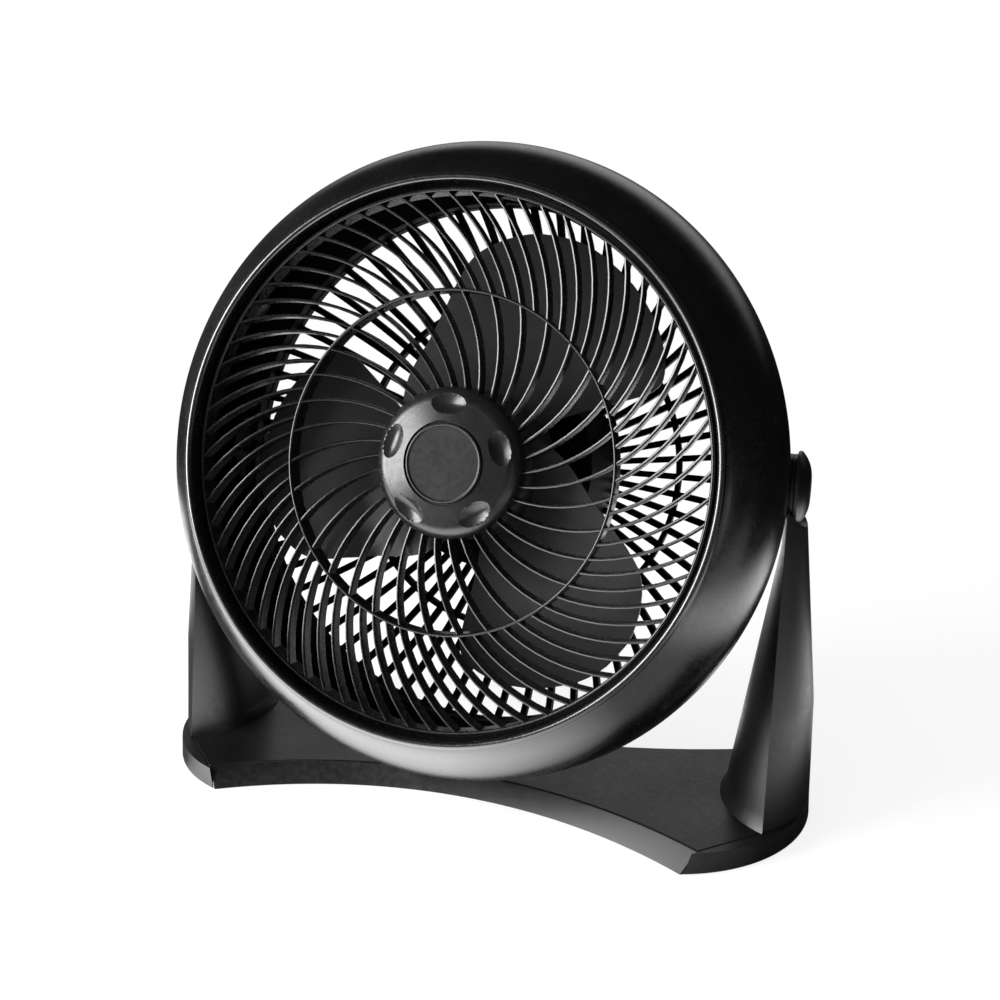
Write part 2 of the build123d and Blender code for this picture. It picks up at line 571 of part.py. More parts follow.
def motor_bolts():
    """Four long bolts that clamp the motor to the cup's plate."""
    bolt = Pos(BOLT_CIRCLE, 0, CUP_FRONT) * screw(BOLT_RADIUS, 3.4, CUP_FRONT - MOTOR_REAR + 2)
    return Compound(around(bolt, 4, 45))


def motor_shaft():
    """Motor shaft from the rear bearing to the impeller nut."""
    return disc(SHAFT_RADIUS, MOTOR_REAR - 3, 40.0)


def rotor_core():
    """Rotor on the shaft."""
    return tube(21.6, SHAFT_RADIUS, STATOR_REAR - 1, STATOR_FRONT + 1)


def run_capacitor():
    """Run capacitor beside the motor."""
    return Pos(0, 42, -64) * Box(20, 10, 24, align=(Align.CENTER, Align.MIN, Align.MIN))


# ---- motor pod, switch and knob -----------------------------------------------------------
def pod_outline(grow, rear):
    """Half section of the pod, drawn in by a wall."""
    round_off = 9.0
    radius, back = POD_RADIUS - grow, POD_REAR_RADIUS - grow
    front = CUP_REAR + 2
    edge = Line((0, front), (radius, front)) + Line((radius, front), (back + 2.0, rear + round_off))
    edge += ThreePointArc((back + 2.0, rear + round_off), (back - 1.2, rear + 2.6), (back - round_off, rear))
    edge += Polyline((back - round_off, rear), (0, rear), (0, front))
    return Plane.XZ * make_face(edge)


def motor_pod():
    """Rear cover over the motor, with cooling slots, switch hole and cord inlet."""
    outer = revolve(pod_outline(0, POD_REAR), Axis.Z) - disc(100, CUP_REAR, 0)
    shell = outer - revolve(pod_outline(POD_WALL, POD_REAR + POD_WALL), Axis.Z)
    flange = tube(CUP_RADIUS, POD_RADIUS - POD_WALL, CUP_REAR - 3, CUP_REAR)
    posts = [Rot(0, 0, 60 + 120 * index) * (Pos(POD_SCREW_CIRCLE, 0, CUP_REAR - 3) * Cylinder(4, 3, align=LOW))
             for index in range(3)]
    slot = Pos(31, 0, POD_REAR - 1) * Box(13, 3, 4, align=(Align.CENTER, Align.CENTER, Align.MIN))
    slots = [Rot(0, 0, 200 + 20 * index) * slot for index in range(8)]
    switch_hole = Pos(0, KNOB_OFFSET, POD_REAR - 1) * Cylinder(KNOB_SHAFT_RADIUS + 0.5, 6, align=LOW)
    inlet = Location((0, -POD_RADIUS - 2, CORD_PLACE), (-90, 0, 0)) * Cylinder(CORD_HOLE_RADIUS, 20, align=LOW)
    screw_holes = [Rot(0, 0, 60 + 120 * index) * (Pos(POD_SCREW_CIRCLE, 0, CUP_REAR - 5) * Cylinder(1.7, 10, align=LOW))
                   for index in range(3)]
    return shell.fuse(flange, *posts).cut(*slots, switch_hole, inlet, *screw_holes)


def pod_screws():
    """Screws that hold the pod on the back of the cup."""
    piece = Pos(POD_SCREW_CIRCLE, 0, CUP_REAR - 3) * Rot(180, 0, 0) * screw(1.5, 3.0, 3)
    return Compound([Rot(0, 0, 60 + 120 * index) * piece for index in range(3)])


def cord_bushing():
    """Bushing in the pod's underside where the mains lead comes in."""
    collar = 2.5
    wide = Cylinder(4.8, collar, align=LOW)
    body = wide + Pos(0, 0, collar) * Cylinder(CORD_HOLE_RADIUS - 0.1, 8, align=LOW)
    body -= Pos(0, 0, -1) * Cylinder(2.5, 20, align=LOW)
    return Location((0, -POD_RADIUS - collar, CORD_PLACE), (-90, 0, 0)) * body


def speed_switch():
    """Body of the rotary speed switch behind the pod's back wall."""
    body = Pos(0, KNOB_OFFSET, POD_REAR + POD_WALL) * Box(22, 22, 11.5, align=LOW)
    return body - Pos(0, KNOB_OFFSET, POD_REAR) * Cylinder(KNOB_SHAFT_RADIUS + 0.05, 11, align=LOW)


def switch_shaft():
    """Shaft of the speed switch."""
    return Pos(0, KNOB_OFFSET, 0) * disc(KNOB_SHAFT_RADIUS, POD_REAR - 7, POD_REAR + 8)


def speed_knob():
    """Speed knob with a grip bar across it."""
    skirt = disc(KNOB_RADIUS, KNOB_REAR + 6.5, POD_REAR - 0.6)
    bar = Pos(0, 0, KNOB_REAR) * Box(7, 2 * KNOB_RADIUS - 2, 8, align=LOW)
    socket = disc(KNOB_SHAFT_RADIUS, POD_REAR - 7, POD_REAR)
    return Pos(0, KNOB_OFFSET, 0) * (skirt + (bar & disc(KNOB_RADIUS - 1, KNOB_REAR, POD_REAR)) - socket)


# ---- impeller -----------------------------------------------------------------------------
def blade_place(angle):
    """Place of the blade along the fan axis at an angle: it climbs forward as it goes round."""
    return BLADE_REAR + BLADE_RISE * max((angle - BLADE_START) / BLADE_SPAN, 0.0) ** 0.8


def blade_outline():
    """Plan of one wide blade: a straight rear edge, a round tip and a swept front edge."""
    rear_edge = [polar(40, 36), polar(66, 31), polar(97, 27), polar(120, 27)]
    corner = [polar(120, 27), polar(132, 35), polar(141, 48), polar(BLADE_RADIUS, 65)]
    tip = [polar(BLADE_RADIUS, 65), polar(142, 77), polar(126, 91)]
    front_edge = [polar(126, 91), polar(110, 97), polar(95, 102), polar(76, 112), polar(58, 131), polar(40, 150)]
    edge = Spline(*rear_edge) + Spline(*corner) + Spline(*tip) + Spline(*front_edge)
    return make_face(edge + Line(front_edge[-1], rear_edge[0]))


def blade_sheet():
    """Twisted surface that the blade follows, wider than the blade itself."""
    radii = [30 + 20 * index for index in range(7)]
    angles = [BLADE_START + 4 + 13.5 * index for index in range(10)]
    points = [[Vector(*polar(radius, angle), blade_place(angle)) for angle in angles] for radius in radii]
    return Face.make_surface_from_array_of_points(points)


def blade():
    """One blade: the twisted sheet given its thickness and trimmed to its plan."""
    thick = extrude(blade_sheet(), BLADE_THICKNESS, dir=(0, 0, 1))
    return thick & extrude(Pos(0, 0, -40) * blade_outline(), 120)


def impeller():
    """Impeller: a round hub with three wide blades."""
    wall = HUB_RADIUS - 2.5
    hub = turned([(SHAFT_RADIUS, 4), (9, 4), (9, HUB_FRONT - 3), (wall - 3, HUB_FRONT - 3), (wall, HUB_FRONT - 7),
                  (wall, HUB_REAR), (HUB_RADIUS, HUB_REAR), (HUB_RADIUS, HUB_FRONT - 5), (HUB_RADIUS - 5, HUB_FRONT),
                  (SHAFT_RADIUS, HUB_FRONT)])
    blades = [piece - disc(HUB_RADIUS - 1, -60, 80) for piece in around(blade(), BLADE_COUNT)]
    return hub.fuse(*blades)


def impeller_nut():
    """Round nut that holds the impeller on the shaft."""
    return tube(9, SHAFT_RADIUS, HUB_FRONT, HUB_FRONT + 4)


def grille_screws():
    """Screws that hold the front grille in the housing."""
    piece = Pos(GRILLE_SCREW_CIRCLE, 0, LIP_REAR - 3) * Rot(180, 0, 0) * screw(1.6, 3.0, 6.5)
    return Compound([Rot(0, 0, angle) * piece for angle in screw_angles(GRILLE_SCREWS)])


# ---- all pieces ---------------------------------------------------------------------------
STAND_PIECES = {
    "base_plate": base_plate,
    "foot_pads": foot_pads,
    "arm_screws": arm_screws,
}
SIDE_PIECES = {
    "arm": right_arm,
    "arm_cover": right_arm_cover,
    "pivot_cap": right_pivot_cap,
    "pivot_bolt": right_pivot_bolt,
    "friction_washer": right_friction_washer,
}
HEAD_PIECES = {
    "front_bezel": front_bezel,
    "head_shell": head_shell,
    "front_grille": front_grille,
    "grille_screws": grille_screws,
    "hub_cap": hub_cap,
    "cap_disc": cap_disc,
    "rear_grille": rear_grille,
    "rear_screws": rear_screws,
    "motor_front_bracket": motor_front_bracket,
    "motor_rear_bracket": motor_rear_bracket,
    "stator_core": stator_core,
    "stator_windings": stator_windings,
    "motor_bearings": motor_bearings,
    "motor_bolts": motor_bolts,
    "run_capacitor": run_capacitor,
    "motor_pod": motor_pod,
    "pod_screws": pod_screws,
    "cord_bushing": cord_bushing,
    "speed_switch": speed_switch,
    "switch_shaft": switch_shaft,
    "speed_knob": speed_knob,
    "motor_shaft": motor_shaft,
    "rotor_core": rotor_core,
    "impeller": impeller,
    "impeller_nut": impeller_nut,
}


def save(name, shape):
    """Write one piece to its own file."""
    export_step(Pos(0, -FORWARD_SHIFT, 0) * shape, f"parts/{name}.step")
    print(name, round(shape.volume))


def main():
    """Build and write every piece."""
    os.makedirs("parts", exist_ok=True)
    for name, make in STAND_PIECES.items():
        save(name, make())
    for name, make in SIDE_PIECES.items():
        piece = make()
        save(f"right_{name}", piece)
        save(f"left_{name}", mirrored(piece))
    for name, make in HEAD_PIECES.items():
        save(name, HEAD * make())


main()
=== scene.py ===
"""Looks of a table air circulator fan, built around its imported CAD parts.

Parts of the stand are drawn about the tilt axis, Z up and the floor at Z = 0. Parts of the head are
drawn in fan coordinates: X right, Y up, Z forward along the fan's axis, origin on the tilt axis.
Both are drawn in millimetres and put into the frame, in metres, when they are done.
"""

import json
import logging
from collections.abc import Callable, Sequence
from dataclasses import dataclass
from enum import Enum
from math import atan2, cos, hypot, pi, radians, sin, sqrt, tau

import bmesh
import bpy
from mathutils import Matrix, Vector


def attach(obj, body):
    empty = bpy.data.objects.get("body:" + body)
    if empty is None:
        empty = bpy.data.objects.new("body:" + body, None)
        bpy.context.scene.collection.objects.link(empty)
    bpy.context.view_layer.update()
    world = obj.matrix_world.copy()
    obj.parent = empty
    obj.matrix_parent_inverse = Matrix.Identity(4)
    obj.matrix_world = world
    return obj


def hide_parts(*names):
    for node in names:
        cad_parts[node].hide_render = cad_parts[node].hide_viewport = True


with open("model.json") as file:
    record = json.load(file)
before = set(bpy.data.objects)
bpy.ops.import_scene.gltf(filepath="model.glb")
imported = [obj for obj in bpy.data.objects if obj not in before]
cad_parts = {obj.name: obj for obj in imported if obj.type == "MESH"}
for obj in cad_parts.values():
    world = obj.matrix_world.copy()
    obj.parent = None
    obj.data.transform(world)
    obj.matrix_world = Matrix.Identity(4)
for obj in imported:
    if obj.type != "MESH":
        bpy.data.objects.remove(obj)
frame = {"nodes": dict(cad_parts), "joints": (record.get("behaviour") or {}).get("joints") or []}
bpy.context.view_layer.update()

Shape = bmesh.types.BMesh
Socket = bpy.types.NodeSocket
Outline = Sequence[tuple[float, float]]
Colour = tuple[float, float, float]

LOG = logging.getLogger("fan")
MM = 0.001
MERGE = 1e-4
SHARP_EDGE = radians(38)
LATHE_STEPS = 192
PIVOT_STEPS = 96
PIVOT_HEIGHT = 204.0
FORWARD_SHIFT = 12.7
STAND = Matrix.Scale(MM, 4) @ Matrix.Translation((0, -FORWARD_SHIFT, 0))


class Body(Enum):
    """The bodies of the fan that move against each other."""

    STAND = "stand"
    HEAD = "head"
    IMPELLER = "impeller"
    KNOB = "speed_knob"


class Side(Enum):
    """The two sides of the stand, with the sign of X there."""

    RIGHT = 1
    LEFT = -1


class Relief(Enum):
    """What gives a surface its fine relief."""

    GRAIN = "spark-eroded mould"
    BRUSHED = "turned or rolled metal"
    CAST = "sand-cast skin"
    WOUND = "wound wire"


class Measure(Enum):
    """What the brightness of the studio's floor and surround changes along."""

    ACROSS = "X"
    BACK = "Y"
    UP = "Z"
    DISTANCE = "distance"


@dataclass(frozen=True)
class Ramp:
    """Value that goes from low to high while a measure goes from start to end, and is held there."""

    along: Measure
    low: float
    high: float
    start: float
    end: float


# ---- finishes -----------------------------------------------------------------------------
CLOUD_SIZE = 46.0
SPECK_SIZE = 3.4
ROUGHNESS_SPREAD = 0.035
EDGE_POINTINESS = (0.53, 0.62)


class Graph:
    """Node graph of a material or of the world, wired from its patterns to its output."""

    def __init__(self, owner: bpy.types.Material | bpy.types.World) -> None:
        """Starts the graph.

        Args:
            owner: The new material or world that it belongs to.
        """
        owner.use_nodes = True
        self.tree = owner.node_tree

    def add(self, kind: str, settings: dict[str, object] | None = None, **inputs: object) -> bpy.types.Node:
        """Adds a node.

        Args:
            kind: Blender's name of the node type.
            settings: The node's own options.
            inputs: A value or another node's output for each input, with _ for a space.

        Returns:
            The new node.
        """
        node = self.tree.nodes.new(kind)
        for key, value in (settings or {}).items():
            setattr(node, key, value)
        for key, value in inputs.items():
            self.feed(node.inputs[key.replace("_", " ")], value)
        return node

    def feed(self, socket: Socket, value: object) -> None:
        """Gives an input a value or links it to another node's output."""
        if isinstance(value, Socket):
            self.tree.links.new(value, socket)
        else:
            socket.default_value = value

    def noise(self, place: Socket, size: float, detail: float = 3.0) -> Socket:
        """Cloudy pattern.

        Args:
            place: Coordinates in metres.
            size: Width of a cloud in millimetres.
            detail: How many finer layers it has.

        Returns:
            The pattern, about 0.3 to 0.7.
        """
        return self.add("ShaderNodeTexNoise", Vector=place, Scale=1000.0 / size, Detail=detail).outputs[0]

    def spread(self, value: Socket, low: float, high: float, start: float = 0.3,
               end: float = 0.7) -> Socket:
        """A pattern's start to end stretched over low to high, and held there."""
        return self.add("ShaderNodeMapRange", Value=value, From_Min=start, From_Max=end, To_Min=low,
                        To_Max=high).outputs[0]

    def blend(self, share: Socket, first: object, second: object) -> Socket:
        """Colour that goes from a first to a second with a share from 0 to 1."""
        node = self.add("ShaderNodeMix", {"data_type": "RGBA"})
        self.feed(node.inputs[0], share)
        self.feed(node.inputs[6], first)
        self.feed(node.inputs[7], second)
        return node.outputs[2]

    def stretched(self, place: Socket, scale: Sequence[float]) -> Socket:
        """Coordinates stretched by a scale along each axis."""
        return self.add("ShaderNodeMapping", Vector=place, Scale=scale).outputs[0]

    def joined(self, operation: str, *values: Socket) -> Socket:
        """Values joined one after the other by an operation.

        Args:
            operation: Blender's name of the operation.
            values: The values.

        Returns:
            The result.
        """
        result = values[0]
        for value in values[1:]:
            node = self.add("ShaderNodeMath", {"operation": operation})
            self.feed(node.inputs[0], result)
            self.feed(node.inputs[1], value)
            result = node.outputs[0]
        return result

    def mixed(self, share: Socket, first: Socket,
              second: Socket) -> Socket:
        """Shader that goes from a first to a second.

        Args:
            share: Share of the second, from 0 to 1.
            first: The first shader.
            second: The second shader.

        Returns:
            The mixed shader.
        """
        node = self.add("ShaderNodeMixShader")
        for socket, value in zip(node.inputs, (share, first, second)):
            self.feed(socket, value)
        return node.outputs[0]

    def glow(self, measures: dict[Measure, Socket], ramps: Sequence[Ramp]) -> Socket:
        """Brightness of one patch.

        Args:
            measures: Where each measure comes from.
            ramps: The ramps that are multiplied.

        Returns:
            The product of the ramps.
        """
        parts = [self.spread(measures[ramp.along], ramp.low, ramp.high, ramp.start, ramp.end)
                 for ramp in ramps]
        return self.joined("MULTIPLY", *parts)


@dataclass(frozen=True)
class Finish:
    """A surface: its colour, gloss, fine relief and the wear on its edges. Lengths in millimetres."""

    name: str
    slot: str
    colour: Colour
    roughness: float
    metallic: float = 0.0
    relief: Relief = Relief.GRAIN
    relief_size: float = 0.7
    relief_depth: float = 0.012
    shade: float = 0.16
    wear: float = 0.35
    worn: Colour = (0.09, 0.09, 0.092)
    specular: float = 0.5
    coat: float = 0.0

    def tone(self, factor: float) -> tuple[float, float, float, float]:
        """The colour made lighter or darker by a factor."""
        return (*(min(part * factor, 1.0) for part in self.colour), 1.0)

    def height(self, graph: Graph, place: Socket) -> Socket:
        """Height pattern of the fine relief.

        Args:
            graph: The material's graph.
            place: Coordinates in metres.

        Returns:
            The height from 0 to 1.
        """
        if self.relief is Relief.BRUSHED:
            return graph.noise(graph.stretched(place, (1.0, 1.0, 0.05)), self.relief_size, 2.0)
        if self.relief is Relief.WOUND:
            return graph.add("ShaderNodeTexWave", {"bands_direction": "Z"}, Vector=place, Distortion=1.5,
                             Scale=50.0 / self.relief_size, Detail=1.0).outputs[1]
        layers = 5.0 if self.relief is Relief.CAST else 2.0
        return graph.noise(place, self.relief_size, layers)

    def material(self) -> bpy.types.Material:
        """The Blender material, made once.

        Returns:
            The material of this finish.
        """
        made = bpy.data.materials.get(self.name)
        if made:
            return made
        made = bpy.data.materials.new(self.name)
        graph = Graph(made)
        place = graph.add("ShaderNodeTexCoord").outputs["Object"]
        clouds = graph.noise(place, CLOUD_SIZE)
        specks = graph.noise(place, SPECK_SIZE, 4.0)
        height = self.height(graph, place)
        darker, lighter = self.tone(1 - self.shade), self.tone(1 + self.shade)
        shaded = graph.blend(graph.spread(clouds, 0.0, 1.0), darker, lighter)
        speck = graph.spread(specks, 0.0, 0.35, 0.5, 0.8)
        speckled = graph.blend(speck, shaded, self.tone(1 + 2 * self.shade))
        pointiness = graph.add("ShaderNodeNewGeometry").outputs["Pointiness"]
        edge = graph.spread(pointiness, 0.0, self.wear, *EDGE_POINTINESS)
        rubbed = graph.joined("MULTIPLY", edge, graph.spread(specks, 0.35, 1.0, 0.4, 0.6))
        colour = graph.blend(rubbed, speckled, (*self.worn, 1.0))
        smooth, dull = self.roughness - ROUGHNESS_SPREAD, self.roughness + ROUGHNESS_SPREAD
        rough = graph.joined("ADD", graph.spread(clouds, smooth, dull), graph.spread(specks, -0.03, 0.05))
        bump = graph.add("ShaderNodeBump", Strength=1.0, Distance=self.relief_depth * MM, Height=height)
        shader = graph.tree.nodes["Principled BSDF"].inputs
        graph.feed(shader["Base Color"], colour)
        graph.feed(shader["Roughness"], rough)
        graph.feed(shader["Normal"], bump.outputs[0])
        shader["Metallic"].default_value = self.metallic
        shader["Specular IOR Level"].default_value = self.specular
        shader["Coat Weight"].default_value = self.coat
        return made


HOUSING_BLACK = Finish("housing black", "black_plastic", (0.004, 0.004, 0.0043), 0.23, wear=0.03,
                       specular=0.8)
# Painted shade: the housing's black plastic made darker and almost without reflection, so the shell's inner
# wall and the rear grille stay as dark as the shade inside the housing.
SHADE_BLACK = Finish("black plastic with painted shade", "black_plastic", (0.0025, 0.0025, 0.0027), 0.6, wear=0.0, specular=0.1)
STAND_BLACK = Finish("stand black", "black_plastic", (0.006, 0.006, 0.0063), 0.34, relief_size=0.9,
                     relief_depth=0.016, wear=0.1)
GRILLE_BLACK = Finish("grille black", "grille_plastic", (0.003, 0.003, 0.0032), 0.26,
                      relief_depth=0.006, wear=0.0)
BLADE_GREY = Finish("blade grey", "blade_plastic", (0.04, 0.04, 0.043), 0.36, shade=0.1,
                    relief_depth=0.008)
CAP_GREY = Finish("cap grey", "cap_plastic", (0.008, 0.008, 0.0087), 0.29, shade=0.1,
                  relief_depth=0.006, wear=0.0, specular=0.42)
SOFT_RUBBER = Finish("soft rubber", "rubber", (0.022, 0.022, 0.022), 0.78, relief_size=0.5,
                     relief_depth=0.03, specular=0.3)
NATURAL_NYLON = Finish("natural nylon", "nylon", (0.7, 0.69, 0.63), 0.5, worn=(0.8, 0.79, 0.75))
ZINC = Finish("zinc-plated steel", "zinc_steel", (0.56, 0.57, 0.6), 0.33, 1.0,
              Relief.BRUSHED, 0.5, 0.01, worn=(0.75, 0.75, 0.76))
BLACKED_STEEL = Finish("blacked steel", "black_steel", (0.05, 0.05, 0.053), 0.42, 0.7,
                       Relief.BRUSHED, 0.5, 0.01, worn=(0.3, 0.3, 0.31))
GROUND_STEEL = Finish("ground steel", "shaft_steel", (0.66, 0.66, 0.68), 0.22, 1.0,
                      Relief.BRUSHED, 0.25, 0.005, worn=(0.8, 0.8, 0.8))
LAMINATIONS = Finish("steel laminations", "lamination_steel", (0.3, 0.31, 0.33), 0.5, 0.9,
                     Relief.BRUSHED, 0.5, 0.05)
CAST_ALLOY = Finish("cast alloy", "cast_alloy", (0.52, 0.53, 0.55), 0.52, 0.9,
                    Relief.CAST, 1.6, 0.06, worn=(0.72, 0.72, 0.74))
ENAMELLED_COPPER = Finish("enamelled copper", "copper_wire", (0.62, 0.24, 0.1), 0.34, 0.85,
                          Relief.WOUND, 0.6, 0.15, coat=0.5)
SINTERED_BRONZE = Finish("sintered bronze", "bronze", (0.5, 0.33, 0.15), 0.48, 0.9,
                         Relief.CAST, 0.4, 0.02)
CAPACITOR_CASE = Finish("capacitor case", "capacitor_case", (0.05, 0.05, 0.056), 0.3)
SWITCH_CASE = Finish("switch case", "switch_case", (0.5, 0.47, 0.4), 0.55, worn=(0.62, 0.6, 0.52))

CARRIED_OVER = {
    HOUSING_BLACK: ("motor_pod",),
    # Painted shade: the shell gets the darker, dull copy of the black plastic.
    SHADE_BLACK: ("head_shell",),
    SOFT_RUBBER: ("cord_bushing",),
    NATURAL_NYLON: ("right_friction_washer", "left_friction_washer"),
    ZINC: ("arm_screws", "right_pivot_bolt", "left_pivot_bolt", "motor_bolts", "impeller_nut"),
    BLACKED_STEEL: ("grille_screws", "rear_screws", "pod_screws"),
    GROUND_STEEL: ("motor_shaft", "switch_shaft"),
    LAMINATIONS: ("stator_core", "rotor_core"),
    CAST_ALLOY: ("motor_front_bracket", "motor_rear_bracket"),
    ENAMELLED_COPPER: ("stator_windings",),
    SINTERED_BRONZE: ("motor_bearings",),
    CAPACITOR_CASE: ("run_capacitor",),
    SWITCH_CASE: ("speed_switch",),
}


# ---- shapes -------------------------------------------------------------------------------
def arc(start: tuple[float, float], middle: tuple[float, float], end: tuple[float, float],
        steps: int = 12) -> list[tuple[float, float]]:
    """Points along the arc through three points.

    Args:
        start: First point.
        middle: A point between the two ends.
        end: Last point.
        steps: How many chords the arc has.

    Returns:
        The points, ends included.
    """
    (ax, ay), (bx, by), (cx, cy) = start, middle, end
    scale = 2 * (ax * (by - cy) + bx * (cy - ay) + cx * (ay - by))
    a, b, c = ax * ax + ay * ay, bx * bx + by * by, cx * cx + cy * cy
    ox = (a * (by - cy) + b * (cy - ay) + c * (ay - by)) / scale
    oy = (a * (cx - bx) + b * (ax - cx) + c * (bx - ax)) / scale
    radius, first = hypot(ax - ox, ay - oy), atan2(ay - oy, ax - ox)
    sweep = (atan2(cy - oy, cx - ox) - first) % tau
    if (atan2(by - oy, bx - ox) - first) % tau > sweep:
        sweep -= tau
    turns = [first + sweep * step / steps for step in range(steps + 1)]
    return [(ox + radius * cos(turn), oy + radius * sin(turn)) for turn in turns]


def polar(radius: float, angle: float, place: float = 0.0) -> Vector:
    """Point at a radius, an angle in degrees and a place along Z."""
    return Vector((radius * cos(radians(angle)), radius * sin(radians(angle)), place))


def between(table: Sequence[tuple[float, ...]], key: float) -> tuple[float, ...]:
    """Row of a table at a key, by straight lines between the rows.

    Args:
        table: Rows that start with their key, lowest first.
        key: Where to read it.

    Returns:
        The row's other values there.
    """
    low, high = table[0], table[-1]
    for first, second in zip(table, table[1:]):
        if first[0] <= key <= second[0]:
            low, high = first, second
    share = min(max((key - low[0]) / (high[0] - low[0]), 0.0), 1.0) if high[0] != low[0] else 0.0
    return tuple(a + share * (b - a) for a, b in zip(low[1:], high[1:]))


def lathe(outline: Outline, steps: int = LATHE_STEPS) -> Shape:
    """Round part from its half section.

    Args:
        outline: Points as radius and place; open if it starts and ends on the axis.
        steps: Faces around.

    Returns:
        The part, about Z.
    """
    part = bmesh.new()
    dots = [part.verts.new((radius, 0.0, place)) for radius, place in outline]
    followers = dots[1:] if outline[0][0] == outline[-1][0] == 0.0 else dots[1:] + dots[:1]
    edges = [part.edges.new(pair) for pair in zip(dots, followers)]
    bmesh.ops.spin(part, geom=[*dots, *edges], cent=(0, 0, 0), axis=(0, 0, 1), angle=tau, steps=steps,
                   use_merge=True)
    return part


def skin(columns: int, rows: int, place: Callable[[float, float], Sequence[float]]) -> Shape:
    """Grid laid over a surface.

    Args:
        columns: Faces across.
        rows: Faces along.
        place: Point for a share across and a share along, each from 0 to 1.

    Returns:
        The open sheet.
    """
    part = bmesh.new()
    bmesh.ops.create_grid(part, x_segments=columns, y_segments=rows, size=0.5)
    for vert in part.verts:
        column, row = round((vert.co.x + 0.5) * columns), round((vert.co.y + 0.5) * rows)
        vert.co = place(column / columns, row / rows)
    return part


def closed(tube: Shape) -> Shape:
    """Tube with its seam merged and its ends closed."""
    bmesh.ops.remove_doubles(tube, verts=tube.verts, dist=MERGE)
    bmesh.ops.holes_fill(tube, edges=[edge for edge in tube.edges if edge.is_boundary], sides=0)
    return tube


def bar(section: Outline, stations: Sequence[Matrix]) -> Shape:
    """Closed section run through stations and closed at its ends.

    Args:
        section: Points of the section, in the XY plane of a station.
        stations: Where the section is put, one after the other.

    Returns:
        The bar.
    """
    count, rows = len(section), len(stations) - 1

    def place(across: float, along: float) -> Vector:
        """Point of the section at a station."""
        x, y = section[round(across * count) % count]
        return stations[round(along * rows)] @ Vector((x, y, 0))

    return closed(skin(count, rows, place))


def block(low: Sequence[float], high: Sequence[float]) -> Shape:
    """Box between two corners."""
    part = bmesh.new()
    size, centre = Vector(high) - Vector(low), (Vector(high) + Vector(low)) / 2
    bmesh.ops.create_cube(part, size=1.0, matrix=Matrix.Translation(centre) @ Matrix.Diagonal((*size, 1.0)))
    return part


def rod(radius: float, rear: float, front: float, steps: int = 48) -> Shape:
    """Round rod along Z."""
    return lathe([(0, rear), (radius, rear), (radius, front), (0, front)], steps)


def hoop(inner: float, outer: float, rear: float, front: float, steps: int = LATHE_STEPS) -> Shape:
    """Ring about Z with a rectangular section."""
    return lathe([(inner, rear), (outer, rear), (outer, front), (inner, front)], steps)


def thicken(sheet: Shape, move: Callable[[Vector], Sequence[float]]) -> Shape:
    """Closed body between a sheet and its own moved copy.

    Args:
        sheet: An open sheet.
        move: Where a point of the copy goes.

    Returns:
        The body.
    """
    made = bmesh.ops.extrude_face_region(sheet, geom=list(sheet.faces), use_keep_orig=True)["geom"]
    for vert in made:
        if isinstance(vert, bmesh.types.BMVert):
            vert.co = move(vert.co)
    bmesh.ops.remove_doubles(sheet, verts=sheet.verts, dist=MERGE)
    bmesh.ops.dissolve_degenerate(sheet, dist=MERGE, edges=sheet.edges)
    return sheet


def tray(floor: Outline, top: Outline, bottom_height: float, top_height: float, wall: float) -> Shape:
    """Low tub, open below, from its plans at the bottom and the top.

    Args:
        floor: Plan at the bottom.
        top: Plan at the top, with as many points.
        bottom_height: Height of the bottom plan.
        top_height: Height of the top plan.
        wall: Thickness of its walls and its roof.

    Returns:
        The tub.
    """
    count, ceiling = len(floor), top_height - wall

    def place(across: float, along: float) -> tuple[float, float, float]:
        """Point of the side wall."""
        plan, height = (floor, bottom_height) if along < 0.5 else (top, top_height)
        return (*plan[round(across * count) % count], height)

    part = closed(skin(count, 1, place))
    under = [face for face in part.faces
             if len(face.verts) > 4 and face.calc_center_median().z < bottom_height + 1]
    bmesh.ops.recalc_face_normals(part, faces=part.faces)
    bmesh.ops.inset_region(part, faces=under, thickness=wall, use_even_offset=True, use_boundary=True)
    raised = bmesh.ops.extrude_face_region(part, geom=under)["geom"]
    bmesh.ops.delete(part, geom=under, context="FACES_ONLY")
    rise = (ceiling - bottom_height) / (top_height - bottom_height)
    for vert in raised:
        if isinstance(vert, bmesh.types.BMVert):
            nearest = min(range(count), key=lambda index: (Vector(floor[index]) - vert.co.xy).length)
            vert.co.xy += rise * (Vector(top[nearest]) - Vector(floor[nearest]))
            vert.co.z = ceiling
    return part


def soften(part: Shape, width: float, segments: int = 2, low: float = -1e9) -> Shape:
    """Rounds a part's sharp edges.

    Args:
        part: The part, with its doubles merged.
        width: Width of the rounding.
        segments: Faces across the rounding.
        low: Edges whose middle is lower than this along Z stay sharp.

    Returns:
        The same part.
    """
    bmesh.ops.remove_doubles(part, verts=part.verts, dist=MERGE)
    bmesh.ops.recalc_face_normals(part, faces=part.faces)
    sharp = [edge for edge in part.edges
             if len(edge.link_faces) == 2 and edge.calc_face_angle() > SHARP_EDGE
             and sum(vert.co.z for vert in edge.verts) > 2 * low]
    bmesh.ops.bevel(part, geom=sharp, offset=width, offset_type="OFFSET", segments=segments, profile=0.5,
                    affect="EDGES", clamp_overlap=True, material=-1)
    return part


def put(name: str, data: bpy.types.ID) -> bpy.types.Object:
    """New object in the scene."""
    item = bpy.data.objects.new(name, data)
    bpy.context.scene.collection.objects.link(item)
    return item


